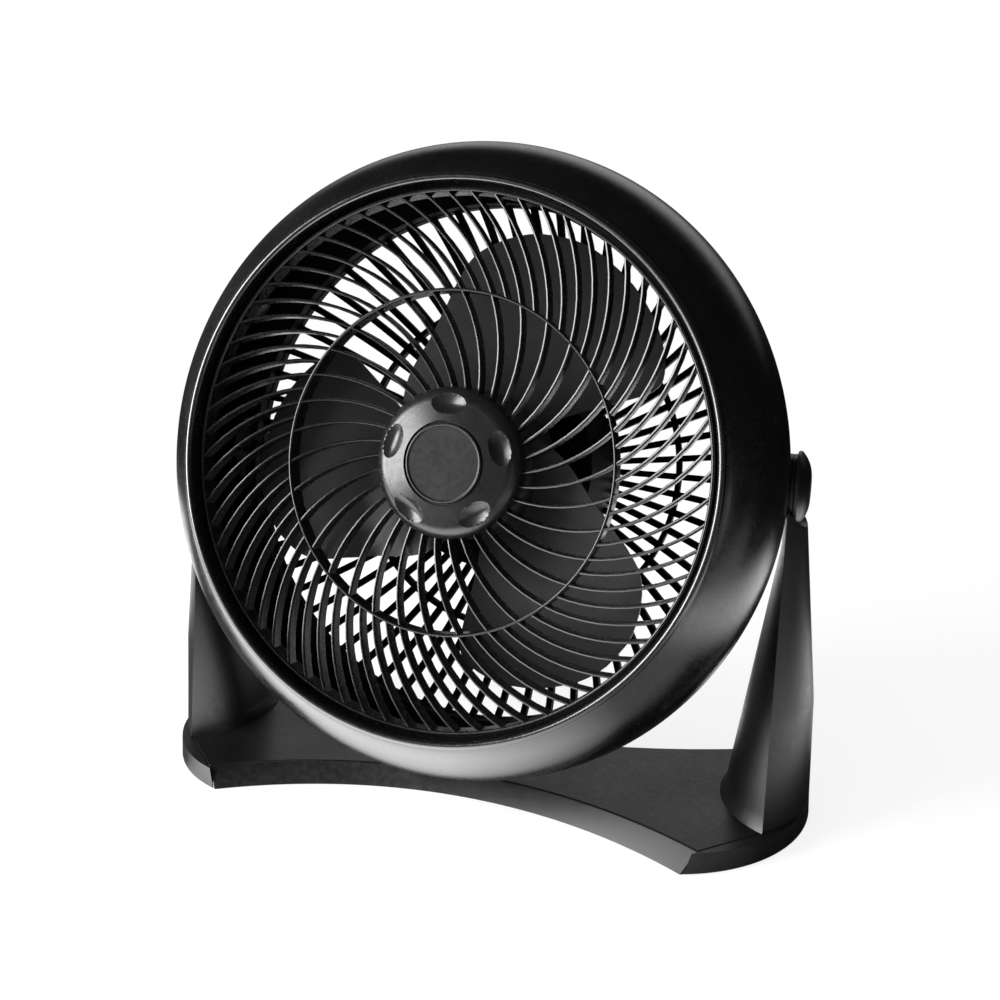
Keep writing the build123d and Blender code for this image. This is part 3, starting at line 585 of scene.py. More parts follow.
class Draft:
    """One piece while it is being modelled, from closed parts."""

    def __init__(self) -> None:
        """Starts with nothing."""
        self.mesh = bmesh.new()

    def take(self, part: Shape, place: Matrix | None = None, copies: int = 1, start: float = 0.0) -> None:
        """Adds a closed part, with its faces turned outwards.

        Args:
            part: The part, used up by this.
            place: Where it is put before it is copied.
            copies: How many of it stand about Z, evenly.
            start: Angle of the first, in degrees.
        """
        bmesh.ops.remove_doubles(part, verts=part.verts, dist=MERGE)
        bmesh.ops.recalc_face_normals(part, faces=part.faces)
        store = bpy.data.meshes.new("part")
        part.to_mesh(store)
        part.free()
        if place is not None:
            store.transform(place)
        store.transform(Matrix.Rotation(radians(start), 4, "Z"))
        for _ in range(copies):
            self.mesh.from_mesh(store)
            store.transform(Matrix.Rotation(radians(360 / copies), 4, "Z"))
        bpy.data.meshes.remove(store)

    def mirror(self) -> None:
        """Turns the piece into the one for the left side."""
        bmesh.ops.scale(self.mesh, vec=(-1, 1, 1), verts=self.mesh.verts)
        bmesh.ops.reverse_faces(self.mesh, faces=self.mesh.faces)

    def finish(self, name: str, look: Finish, body: Body, stands_for: Sequence[str],
               place: Matrix = STAND, even: bool = True) -> None:
        """Turns the draft into a piece of the fan.

        Args:
            name: Name of the piece.
            look: Its finish.
            body: The body that it moves with.
            stands_for: CAD nodes that it replaces.
            place: From drawing coordinates to the frame.
            even: Whether wide faces lead the shading across narrow ones.
        """
        for face in self.mesh.faces:
            face.smooth = True
        for edge in self.mesh.edges:
            edge.smooth = len(edge.link_faces) == 2 and edge.calc_face_angle() < SHARP_EDGE
        mesh = bpy.data.meshes.new(name)
        self.mesh.to_mesh(mesh)
        self.mesh.free()
        mesh.transform(place)
        mesh.materials.append(look.material())
        piece = put(name, mesh)
        if even:
            piece.modifiers.new("even shading", "WEIGHTED_NORMAL").keep_sharp = True
        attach(piece, body.value)
        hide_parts(*stands_for)
        LOG.info("%s: %d faces, moves with %s", name, len(mesh.polygons), body.value)


def head_place() -> Matrix:
    """Fan coordinates in millimetres to the frame in metres, by the impeller's joint.

    Returns:
        The matrix.
    """
    joint = next(joint for joint in frame["joints"] if joint["name"] == "impeller_spin")
    forward, right = Vector(joint["axis"]).normalized(), Vector((1, 0, 0))
    turn = Matrix((right, forward.cross(right), forward)).transposed().to_4x4()
    return Matrix.Translation(joint["pos_m"]) @ turn @ Matrix.Scale(MM, 4)


HEAD = head_place()


# ---- stand --------------------------------------------------------------------------------
@dataclass
class Stand:
    """Base plate with its ribs, and the rubber feet."""

    bottom: float = 1.0
    top: float = 12.7
    wall: float = 3.0
    front_middle: float = -47.0
    front_slope: float = 9.0
    rear_middle: float = 19.0
    seam_bottom: tuple[float, float] = (148.0, -88.0)
    seam_top: tuple[float, float] = (156.0, -80.0)
    side_x: float = 187.8
    side_front: float = -50.0
    rear_corner: float = 60.5
    foot_radius: float = 8.0
    foot_height: float = 3.0
    foot_places: tuple[tuple[float, float], ...] = ((152.0, -62.0), (166.0, 38.0))
    rib_places: tuple[float, ...] = (-120.0, -72.0, -24.0, 24.0, 72.0, 120.0)
    rib_thickness: float = 2.0
    long_rib_reach: float = 180.0
    long_rib_y: float = -12.0
    edge_steps: int = 56

    def outline(self, seam: tuple[float, float], front: float) -> list[tuple[float, float]]:
        """Plan of the base plate.

        Args:
            seam: Corner where the plate meets the right end cover.
            front: Front edge at the middle.

        Returns:
            The plan's points.
        """
        side, rear = self.side_x, self.rear_corner
        ahead = arc((-seam[0], seam[1]), (0, front), seam, self.edge_steps)
        behind = arc((side, rear), (0, self.rear_middle), (-side, rear), self.edge_steps)
        return [*ahead, (side, self.side_front), *behind, (-side, self.side_front)]

    def places(self) -> list[tuple[float, float]]:
        """Centres of the four feet."""
        return [(side.value * x, y) for side in Side for x, y in self.foot_places]

    def build_base(self) -> None:
        """Makes the base plate: a tub with soft edges, ribs and foot posts."""
        floor = self.outline(self.seam_bottom, self.front_middle)
        top = self.outline(self.seam_top, self.front_middle + self.front_slope)
        ceiling = self.top - self.wall
        draft = Draft()
        draft.take(soften(tray(floor, top, self.bottom, self.top, self.wall), 0.9, 3, low=5.0))
        half, low, high = self.rib_thickness / 2, self.bottom + 2, ceiling + 1
        ahead, behind = self.front_middle + self.front_slope, self.rear_middle
        for x in self.rib_places:
            front = ahead + 2 - (ahead - self.seam_top[1]) * (x / self.seam_top[0]) ** 2
            rear = behind - 2 + (self.rear_corner - behind) * (x / self.side_x) ** 2
            rib = block((x - half, front, low), (x + half, rear, high))
            for vert in rib.verts:
                if vert.co.y < rear:
                    vert.co.y -= self.front_slope * (self.top - vert.co.z) / (self.top - self.bottom)
            draft.take(rib)
        reach, y = self.long_rib_reach, self.long_rib_y
        draft.take(block((-reach, y - half, low), (reach, y + half, high)))
        for x, y in self.places():
            post = rod(self.foot_radius + 2, self.foot_height, high)
            draft.take(post, Matrix.Translation((x, y, 0)))
        draft.finish("base_plate_shell", STAND_BLACK, Body.STAND, ["base_plate"])

    def build_feet(self) -> None:
        """Makes the rubber feet, with a groove around and a hollow tread."""
        radius, height = self.foot_radius, self.foot_height
        outline = [(0, 0.5), (radius - 4, 0.5), (radius - 3.4, 0), (radius - 1, 0), (radius, 0.8),
                   (radius, 1.5), (radius - 0.5, 1.8), (radius - 0.5, 2.2), (radius, 2.5), (radius, height),
                   (0, height)]
        draft = Draft()
        for x, y in self.places():
            draft.take(lathe(outline, 48), Matrix.Translation((x, y, 0)))
        draft.finish("rubber_feet", SOFT_RUBBER, Body.STAND, ["foot_pads"])

    def build(self) -> None:
        """Makes the pieces of the base."""
        self.build_base()
        self.build_feet()


@dataclass(frozen=True)
class RoundEnd:
    """Plan of an end cover at one height: an arc from the base's seam to the rear corner."""

    centre: float
    radius: float
    seam_angle: float
    rear_y: float
    steps: int = 44

    def outline(self, plane: float, gap: float, front_y: float) -> list[tuple[float, float]]:
        """Points of the plan.

        Args:
            plane: X of the base plate's side.
            gap: Width of the seam between the two.
            front_y: Front corner of the base plate's side.

        Returns:
            The points.
        """
        rear_angle = atan2(self.rear_y, plane - self.centre) * 180 / pi
        edge = [polar(self.radius, self.seam_angle + (rear_angle - self.seam_angle) * step / self.steps)
                for step in range(self.steps + 1)]
        round_side = [(self.centre + point.x, point.y) for point in edge]
        return [*round_side, (plane + gap, self.rear_y), (plane + gap, front_y - gap)]


@dataclass
class Upright:
    """One arm of the stand: the inner half cone, its outer cover and the cap over the pivot."""

    side: Side
    plane: float = 188.0
    base_top: float = 12.7
    base_bottom: float = 1.0
    wall: float = 3.0
    seam_gap: float = 0.25
    eye_radius: float = 19.4
    inner_x: float = 185.2
    seat_x: float = 190.4
    seat_radius: float = 21.6
    cap_radius: float = 21.3
    cap_rim_x: float = 192.4
    cap_outer_x: float = 198.3
    cap_flat_radius: float = 8.0
    arm_sections: tuple[tuple[float, float, float], ...] = (
        (12.7, 51.2, 30.4), (13.1, 50.8, 29.4), (13.9, 50.3, 28.6), (15.2, 49.9, 28.0), (17.5, 49.3, 27.35),
        (170.0, 24.1, 3.4), (204.0, 18.0, 2.8))
    cover_sections: tuple[tuple[float, float, float], ...] = (
        (12.7, 50.0, 22.5), (76.0, 39.7, 21.0), (181.0, 22.3, 10.5), (204.0, 18.0, 8.0))
    end_bottom: RoundEnd = RoundEnd(119.0, 92.0, -70.6, 60.5)
    end_top: RoundEnd = RoundEnd(121.0, 89.5, -69.0, 59.2)
    end_front: float = -50.0
    overlap: float = 0.1

    def wrap(self, sections: Sequence[tuple[float, float, float]], out: float, share: float,
             height: float) -> tuple[float, float]:
        """Point on the bulged side of an arm.

        Args:
            sections: Height, half length and bulge at some heights.
            out: 1 if it bulges outwards, -1 inwards.
            share: From the front edge, 0, to the rear edge, 1.
            height: Height of the point.

        Returns:
            X and Y of the point.
        """
        half, bulge = between(sections, height)
        radius = (half * half + bulge * bulge) / (2 * bulge)
        opening = atan2(half, radius - bulge) if bulge < radius else pi - atan2(half, bulge - radius)
        turn = (2 * share - 1) * opening
        return self.plane + out * (radius * cos(turn) - radius + bulge), radius * sin(turn)

    def sheet(self, sections: Sequence[tuple[float, float, float]], out: float, notch: float) -> Shape:
        """Bulged side of an arm, up to the pivot's height or to the round notch of the pivot cap.

        Args:
            sections: Height, half length and bulge at some heights.
            out: 1 if it bulges outwards, -1 inwards.
            notch: Radius of the notch about the pivot, 0 for none.

        Returns:
            The open sheet.
        """
        def place(across: float, along: float) -> tuple[float, float, float]:
            """Point of the sheet."""
            end = PIVOT_HEIGHT
            for _ in range(8 if notch else 0):
                y = self.wrap(sections, out, across, end)[1]
                end = PIVOT_HEIGHT - sqrt(max(notch * notch - y * y, 0.0))
            height = self.base_top + along * (end - self.base_top)
            return (*self.wrap(sections, out, across, height), height)

        return skin(32, 36, place)

    def build_arm(self) -> None:
        """Makes the inner arm with its eye and the hollow round at its foot."""
        plane = self.plane - self.overlap
        body = thicken(self.sheet(self.arm_sections, -1, 0.0), lambda point: (plane, point.y, point.z))
        for vert in body.verts:
            if hypot(vert.co.y, vert.co.z - PIVOT_HEIGHT) < self.eye_radius + 2:
                vert.co.x = max(vert.co.x, self.inner_x)
        self.close("arm", body, rod(self.eye_radius, self.inner_x, plane, PIVOT_STEPS))

    def build_cover(self) -> None:
        """Makes the outer cover: a panel up the arm and a crescent that closes the base's end."""
        plane = self.plane + self.overlap
        panel = thicken(self.sheet(self.cover_sections, 1, self.seat_radius),
                        lambda point: (plane, point.y, point.z))
        plans = [end.outline(self.plane, self.seam_gap, self.end_front)
                 for end in (self.end_bottom, self.end_top)]
        crescent = tray(*plans, self.base_bottom, self.base_top, self.wall)
        eye = rod(self.eye_radius, plane, self.seat_x, PIVOT_STEPS)
        self.close("arm_cover", panel, eye, soften(crescent, 0.7, 3, low=5.0))

    def close(self, kind: str, body: Shape, eye: Shape, extra: Shape | None = None) -> None:
        """Finishes an arm piece on its side.

        Args:
            kind: The CAD node's name without its side.
            body: The bulged body.
            eye: The round eye, about Z.
            extra: One more part, if the piece has one.
        """
        draft = Draft()
        draft.take(soften(body, 0.55))
        draft.take(soften(eye, 0.4), self.pivot())
        if extra is not None:
            draft.take(extra)
        self.hand_in(draft, kind)

    def pivot(self) -> Matrix:
        """Turns a part about Z into one about the right pivot."""
        return Matrix.Translation((0, 0, PIVOT_HEIGHT)) @ Matrix.Rotation(radians(90), 4, "Y")

    def build_cap(self) -> None:
        """Makes the domed cap over the pivot."""
        radius, top = self.cap_radius, (self.cap_flat_radius, self.cap_outer_x)
        rim = [(0, self.seat_x), (radius - 0.5, self.seat_x), (radius, self.seat_x + 0.5)]
        dome = arc((radius, self.cap_rim_x), (16.0, 196.2), top, 14)
        draft = Draft()
        draft.take(lathe([*rim, *dome, (0, self.cap_outer_x)], PIVOT_STEPS), self.pivot())
        self.hand_in(draft, "pivot_cap")

    def hand_in(self, draft: Draft, kind: str) -> None:
        """Mirrors a piece if it is on the left and finishes it."""
        if self.side is Side.LEFT:
            draft.mirror()
        node = f"{self.side.name.lower()}_{kind}"
        draft.finish(f"{node}_shell", STAND_BLACK, Body.STAND, [node])

    def build(self) -> None:
        """Makes the pieces of this arm."""
        self.build_arm()
        self.build_cover()
        self.build_cap()


# ---- head ---------------------------------------------------------------------------------
def first_angle(count: int) -> float:
    """Angle of the first of a count of even lugs, ears or clips, off the level line of the pivots."""
    return 180 / count


@dataclass
class Bezel:
    """Front part of the housing: a round bead, a convex flare and the lip behind it."""

    bead_radius: float = 157.5
    bead_front: float = 77.2
    lip_radius: float = 155.3
    lip_rear: float = 61.0
    flare_radius: float = 188.0
    flare_rear: float = 30.0
    shell_front: float = 18.2
    clip_count: int = 6
    lug_count: int = 4

    def outline(self) -> list[tuple[float, float]]:
        """Half section of the ring."""
        side, out = self.bead_front - 2.2, 2 * self.bead_radius - self.lip_radius
        edge = [(self.lip_radius, self.lip_rear)]
        edge += arc((self.lip_radius, side), (self.bead_radius, self.bead_front), (out, side), 8)
        edge += [(out, 74.1), (160.2, 73.7)]
        edge += arc((161.0, 73.6), (178.6, 56.5), (self.flare_radius, self.flare_rear), 26)
        edge += arc((self.flare_radius, self.flare_rear), (187.2, 22.9), (182.5, 19.5), 8)[1:]
        edge += [(181.0, self.shell_front), (178.1, self.shell_front)]
        edge += arc((184.3, 27.5), (175.8, 54.2), (163.0, 68.5), 10)
        return [*edge, (163.0, self.lip_rear)]

    def build(self) -> None:
        """Makes the bezel with its lugs and clips."""
        draft = Draft()
        draft.take(lathe(self.outline(), 256))
        lug = soften(block((162, -4.5, self.lip_rear), (169, 4.5, self.lip_rear + 5)), 0.5)
        draft.take(lug, copies=self.lug_count, start=first_angle(self.lug_count))
        tongue = soften(block((173.4, -6, 6), (175.6, 6, self.shell_front + 6)), 0.4)
        root = block((173.4, -6, self.shell_front), (180.1, 6, self.shell_front + 6))
        barb = soften(block((175.1, -4, 7), (177.7, 4, 9.5)), 0.5)
        for part in (tongue, root, barb):
            draft.take(part, copies=self.clip_count, start=first_angle(self.clip_count))
        draft.finish("front_bezel_shell", HOUSING_BLACK, Body.HEAD, ["front_bezel"], HEAD)


@dataclass
class FrontGrille:
    """Front grille: curved fins on a shallow dish, with three rings."""

    hub_fins: int = 34
    rim_fins: int = 68
    fin_thickness: float = 1.9
    fin_depth: float = 8.0
    hub_radius: float = 44.0
    hub_place: float = 51.0
    rim_radius: float = 152.0
    rim_place: float = 69.0
    ring_radius: float = 98.3
    fin_start: float = 38.5
    first_fin: float = 18.0
    sweep: float = 0.310
    curl: float = 0.0006
    sweep_start: float = 42.4
    sweep_middle: float = 96.6
    flange: float = 58.0
    ears: int = 4

    def dish(self, radius: float) -> float:
        """Front of the dish at a radius."""
        slope = (self.rim_place - self.hub_place) / (self.rim_radius - self.hub_radius)
        return self.hub_place + slope * (radius - self.hub_radius)

    def fin_angle(self, radius: float) -> float:
        """Angle of a fin at a radius: it sweeps round as it goes out, more and more."""
        out = radius - self.sweep_start
        return self.first_fin + self.sweep * out + self.curl * out * (radius - self.sweep_middle)

    def fin(self, inner: float, outer: float, rows: int) -> Shape:
        """One curved fin with a round front edge.

        Args:
            inner: Radius where it starts.
            outer: Radius where it ends.
            rows: Faces along it.

        Returns:
            The fin.
        """
        half = self.fin_thickness / 2
        section = [(half * cos(turn * pi / 4), half * sin(turn * pi / 4) - half) for turn in range(5)]
        section += [(-half, -self.fin_depth), (half, -self.fin_depth)]
        stations = []
        for row in range(rows + 1):
            radius = inner + (outer - inner) * row / rows
            here = polar(radius, self.fin_angle(radius), self.dish(radius))
            before, after = (polar(radius + step, self.fin_angle(radius + step)) for step in (-1, 1))
            run = (after - before).normalized()
            across = Vector((-run.y, run.x, 0))
            turn = Matrix((across, (0, 0, 1), across.cross((0, 0, 1)))).transposed().to_4x4()
            stations.append(Matrix.Translation(here) @ turn)
        return bar(section, stations)

    def ring(self, radius: float, thickness: float, rear: float, front: float) -> Shape:
        """Upright ring with a round front edge."""
        half = thickness / 2
        edge = arc((radius + half, front - half), (radius, front), (radius - half, front - half), 6)
        return lathe([*edge, (radius - half, rear), (radius + half, rear)])

    def rim(self) -> list[tuple[float, float]]:
        """Round front edge of the rim, from its outside to its inside."""
        side = self.rim_place - 0.5
        return arc((153.2, side), (152.05, side + 1.1), (150.9, side), 6)

    def build(self) -> None:
        """Makes the grille."""
        draft = Draft()
        draft.take(self.fin(self.ring_radius, self.rim_radius, 8), copies=self.rim_fins)
        draft.take(self.fin(self.fin_start, self.ring_radius, 9), copies=self.hub_fins)
        middle = self.dish(self.ring_radius)
        draft.take(self.ring(self.ring_radius, 2.0, middle - 10.5, middle + 0.4))
        draft.take(lathe([*self.rim(), (150.9, self.flange), (161.8, self.flange), (161.8, self.flange + 3),
                          (153.2, self.flange + 3)]))
        draft.take(lathe([(6, 42), (40, 42), (40, 46.6), (34, 46.6), (34, 45), (6, 45)], 96))
        ear = soften(block((159, -4.5, self.flange), (169.6, 4.5, self.flange + 3)), 0.5)
        draft.take(ear, copies=self.ears, start=first_angle(self.ears))
        draft.finish("front_grille_fins", GRILLE_BLACK, Body.HEAD, ["front_grille"], HEAD)


@dataclass
class HubCap:
    """Domed cap in the middle of the grille, with oval dimples and a round disc."""

    radius: float = 43.6
    rear: float = 51.1
    shoulder: float = 55.0
    front: float = 63.0
    disc_radius: float = 23.0
    disc_front: float = 63.6
    dimple_count: int = 5
    dimple_circle: float = 34.0
    dimple_half_length: float = 10.4
    dimple_half_width: float = 6.0
    dimple_depth: float = 2.7
    dimple_rim: float = 0.07
    cone_rows: int = 18

    def press(self, part: Shape) -> None:
        """Presses the dimples into the cap's front.

        Args:
            part: The cap, finely divided.
        """
        for vert in part.verts:
            if vert.co.z < self.shoulder:
                continue
            for index in range(self.dimple_count):
                spot = polar(self.dimple_circle, 90 + 360 * index / self.dimple_count)
                out = spot.normalized()
                away = Vector((vert.co.x, vert.co.y, 0)) - spot
                radial, side = away.dot(out) / self.dimple_half_width, away.dot(Vector((-out.y, out.x, 0)))
                reach = hypot(radial, side / self.dimple_half_length)
                if abs(reach - 1) < self.dimple_rim:
                    vert.co.x, vert.co.y = (spot + away / reach).xy
                elif reach < 1:
                    vert.co.z -= self.dimple_depth * (1 - reach * reach)

    def build(self) -> None:
        """Makes the cap and the disc."""
        disc, front, radius, shoulder = self.disc_radius, self.front, self.radius, self.shoulder
        cone_top, cone_foot = Vector((disc + 1.2, front)), Vector((radius - 8.5, shoulder + 5.8))
        edge = [(0, front - 1.5), (disc + 0.9, front - 1.5), (disc + 1.0, front - 0.2)]
        edge += [tuple(cone_top.lerp(cone_foot, row / self.cone_rows)) for row in range(self.cone_rows)]
        edge += arc(tuple(cone_foot), (radius - 3, shoulder + 3.6), (radius, shoulder), 16)
        edge += [(radius, self.rear), (radius - 2.5, self.rear), (radius - 6, shoulder + 1.0),
                 (30, front - 6), (0, front - 6)]
        cap = lathe(edge, 300)
        bmesh.ops.remove_doubles(cap, verts=cap.verts, dist=MERGE)
        self.press(cap)
        draft = Draft()
        draft.take(cap)
        draft.take(hoop(30.5, 32.5, 45, 58, 64))
        draft.finish("hub_cap_shell", CAP_GREY, Body.HEAD, ["hub_cap"], HEAD, even=False)
        top = self.disc_front
        ridge = arc((disc - 1.9, top - 0.75), (disc - 1.0, top), (disc - 0.1, top - 0.8), 8)
        draft = Draft()
        draft.take(lathe([(0, front - 1.5), (disc, front - 1.5), (disc, top - 1.2), *reversed(ridge),
                          (disc - 2.4, top - 0.85), (0, top - 0.8)], 128))
        draft.finish("cap_disc_face", CAP_GREY, Body.HEAD, ["cap_disc"], HEAD)


@dataclass
class RearGrille:
    """Rear grille: a bowl of upright ribs, a ring, a rim and the deep cup that carries the motor."""

    front: float = -18.0
    rear: float = -25.0
    ribs: int = 60
    rib_steps: int = 12
    rib_thickness: float = 4.0
    slot_radius: float = 161.5
    rim_radius: float = 168.5
    ring_radius: float = 112.0
    ring_rear: float = -78.0
    cup_radius: float = 66.0
    cup_front: float = -20.0
    cup_rear: float = -98.0
    bore_radius: float = 11.3

    def rib(self) -> Shape:
        """One rib, with soft edges: it follows the bowl from the cup out to the rim.

        Returns:
            The rib.
        """
        depth, half, cut = self.front - self.rear, self.rib_thickness / 2, 0.6
        section = [(half, cut), (half, depth - cut), (half - cut, depth), (cut - half, depth),
                   (-half, depth - cut), (-half, cut), (cut - half, 0), (half - cut, 0)]
        curve = arc((self.cup_radius - 1, self.cup_rear), (self.ring_radius, self.ring_rear),
                    (self.slot_radius + 0.5, self.rear), self.rib_steps)
        upright = Matrix(((0, 0, 1), (1, 0, 0), (0, 1, 0))).to_4x4()
        return bar(section, [Matrix.Translation((radius, 0, place)) @ upright for radius, place in curve])

    def build(self) -> None:
        """Makes the grille."""
        draft = Draft()
        draft.take(self.rib(), copies=self.ribs)
        draft.take(soften(hoop(self.slot_radius, self.rim_radius, self.rear, self.front), 0.8, 3))
        inner, outer = self.ring_radius - 1.7, self.ring_radius + 1.7
        ring_front = self.ring_rear + self.front - self.rear
        draft.take(soften(hoop(inner, outer, self.ring_rear, ring_front), 0.6))
        radius, front = self.cup_radius, self.cup_front
        bore, inner, plate = self.bore_radius, radius - 2.5, front - 4
        cup = lathe([(bore, plate), (inner, plate), (inner, self.cup_rear), (radius, self.cup_rear),
                     (radius, front - 3), (radius - 3, front), (bore, front)])
        draft.take(soften(cup, 0.5))
        # Painted shade: the ribs get the darker, dull copy of the black plastic.
        draft.finish("rear_grille_ribs", SHADE_BLACK, Body.HEAD, ["rear_grille"], HEAD)


@dataclass
class Impeller:
    """Impeller: a round hub and three wide, twisted blades."""

    hub_radius: float = 45.0
    hub_rear: float = -14.0
    hub_front: float = 35.0
    shaft_radius: float = 4.0
    blades: int = 3
    thickness: float = 2.2
    rear_place: float = -12.0
    rise: float = 45.0
    start: float = 25.0
    span: float = 110.0
    tip_start: float = 0.85
    tip_bulge: float = 0.4
    rear_edge: tuple[tuple[float, float, float], ...] = (
        (0.0, 44.0, 35.2), (0.22, 66.0, 31.0), (0.5, 97.0, 27.0), (0.72, 120.0, 27.0), (0.84, 132.0, 35.0),
        (0.93, 141.0, 48.0), (1.0, 145.6, 61.0))
    front_edge: tuple[tuple[float, float, float], ...] = (
        (0.0, 44.0, 145.5), (0.14, 58.0, 131.0), (0.32, 76.0, 112.0), (0.5, 95.0, 102.0), (0.64, 110.0, 97.0),
        (0.79, 126.0, 91.0), (0.93, 141.0, 78.5), (1.0, 145.6, 69.0))

    def climb(self, angle: float) -> float:
        """Place of a blade along the axis at an angle: it climbs forward as it goes round."""
        return self.rear_place + self.rise * max((angle - self.start) / self.span, 0.0) ** 0.8

    @staticmethod
    def along(table: Sequence[tuple[float, float, float]], key: float) -> Vector:
        """Radius and angle on an edge of the blade, by a smooth curve through its rows.

        Args:
            table: Rows of share along, radius and angle.
            key: Share along, from 0 to 1.

        Returns:
            The radius and the angle.
        """
        index = max(i for i in range(len(table) - 1) if table[i][0] <= key)
        rows = [Vector(table[min(max(i, 0), len(table) - 1)]) for i in range(index - 1, index + 3)]
        before, low, high, after = rows
        width = high.x - low.x
        share = (key - low.x) / width
        leave = (high - before) / max(high.x - before.x, MERGE) * width
        reach = (after - low) / max(after.x - low.x, MERGE) * width
        square, cube = share * share, share ** 3
        point = low * (2 * cube - 3 * square + 1) + leave * (cube - 2 * square + share)
        point += high * (3 * square - 2 * cube) + reach * (cube - square)
        return Vector((point.y, point.z))

    def blade(self) -> Shape:
        """One blade with round edges.

        Returns:
            The blade.
        """
        def place(across: float, along: float) -> Vector:
            """Point on the blade's rear face."""
            low, high = self.along(self.rear_edge, along), self.along(self.front_edge, along)
            radius, angle = low.lerp(high, across)
            tip = max(along - self.tip_start, 0.0) / (1 - self.tip_start)
            radius += self.tip_bulge * tip * sin(pi * across)
            return polar(radius, angle, self.climb(angle))

        sheet = skin(44, 40, place)
        return soften(thicken(sheet, lambda point: (point.x, point.y, point.z + self.thickness)), 0.9, 3)

    def build(self) -> None:
        """Makes the impeller."""
        radius, front, rear = self.hub_radius, self.hub_front, self.hub_rear
        wall, shaft = radius - 2.5, self.shaft_radius
        dome = arc((radius - 5, front), (radius - 1.5, front - 1.6), (radius, front - 5), 8)
        outline = [(shaft, 4), (9, 4), (9, front - 3), (wall - 3, front - 3), (wall, front - 7), (wall, rear),
                   (radius, rear), *reversed(dome), (14, front), (13, front - 0.8), (shaft, front - 0.8)]
        draft = Draft()
        draft.take(lathe(outline, 128))
        draft.take(self.blade(), copies=self.blades)
        draft.finish("impeller_blades", BLADE_GREY, Body.IMPELLER, ["impeller"], HEAD)


@dataclass
class SpeedKnob:
    """Speed knob with a fluted skirt and a grip bar across it."""

    offset: float = 26.0
    radius: float = 13.0
    rear: float = -131.0
    pod_rear: float = -120.0
    flutes: int = 24
    flute_depth: float = 0.028
    grip_height: float = 6.5
    grip_half_width: float = 3.5

    def build(self) -> None:
        """Makes the knob."""
        radius, rear, pod = self.radius, self.rear + self.grip_height, self.pod_rear
        skirt = lathe([(0, rear), (radius - 1.2, rear), (radius, rear + 1.2), (radius, pod - 0.6),
                       (3, pod - 0.6), (3, pod - 7), (0, pod - 7)], self.flutes * 6)
        for vert in skirt.verts:
            if vert.co.xy.length > radius - 0.1:
                turn = self.flutes * atan2(vert.co.y, vert.co.x)
                vert.co.xy *= 1 - self.flute_depth * max(cos(turn), 0.0)
        half = self.grip_half_width
        grip = block((-half, 1.6 - radius, self.rear), (half, radius - 1.6, rear + 1))
        place = Matrix.Translation((0, self.offset, 0))
        draft = Draft()
        draft.take(skirt, place)
        draft.take(soften(grip, 1.2, 3), place)
        draft.finish("speed_knob_grip", HOUSING_BLACK, Body.KNOB, ["speed_knob"], HEAD)


# ---- studio -------------------------------------------------------------------------------
WHITE = (1.0, 1.0, 1.0, 1.0)


@dataclass(frozen=True)
class Lamp:
    """A soft box. Its radiance is how bright its face is, where 1 is white."""

    name: str
    place: tuple[float, float, float]
    size: tuple[float, float]
    radiance: float
    mirrored: bool = True

    def hang(self, aim: Sequence[float]) -> None:
        """Hangs the lamp, out of the camera's sight.

        Args:
            aim: Where it points.
        """
        data = bpy.data.lights.new(self.name, "AREA")
        data.shape = "RECTANGLE"
        data.size, data.size_y = self.size
        data.energy = self.radiance * pi * data.size * data.size_y
        lamp = put(self.name, data)
        lamp.location = self.place
        lamp.rotation_euler = (Vector(aim) - Vector(self.place)).to_track_quat("-Z", "Y").to_euler()
        lamp.visible_camera = False
        lamp.visible_glossy = self.mirrored


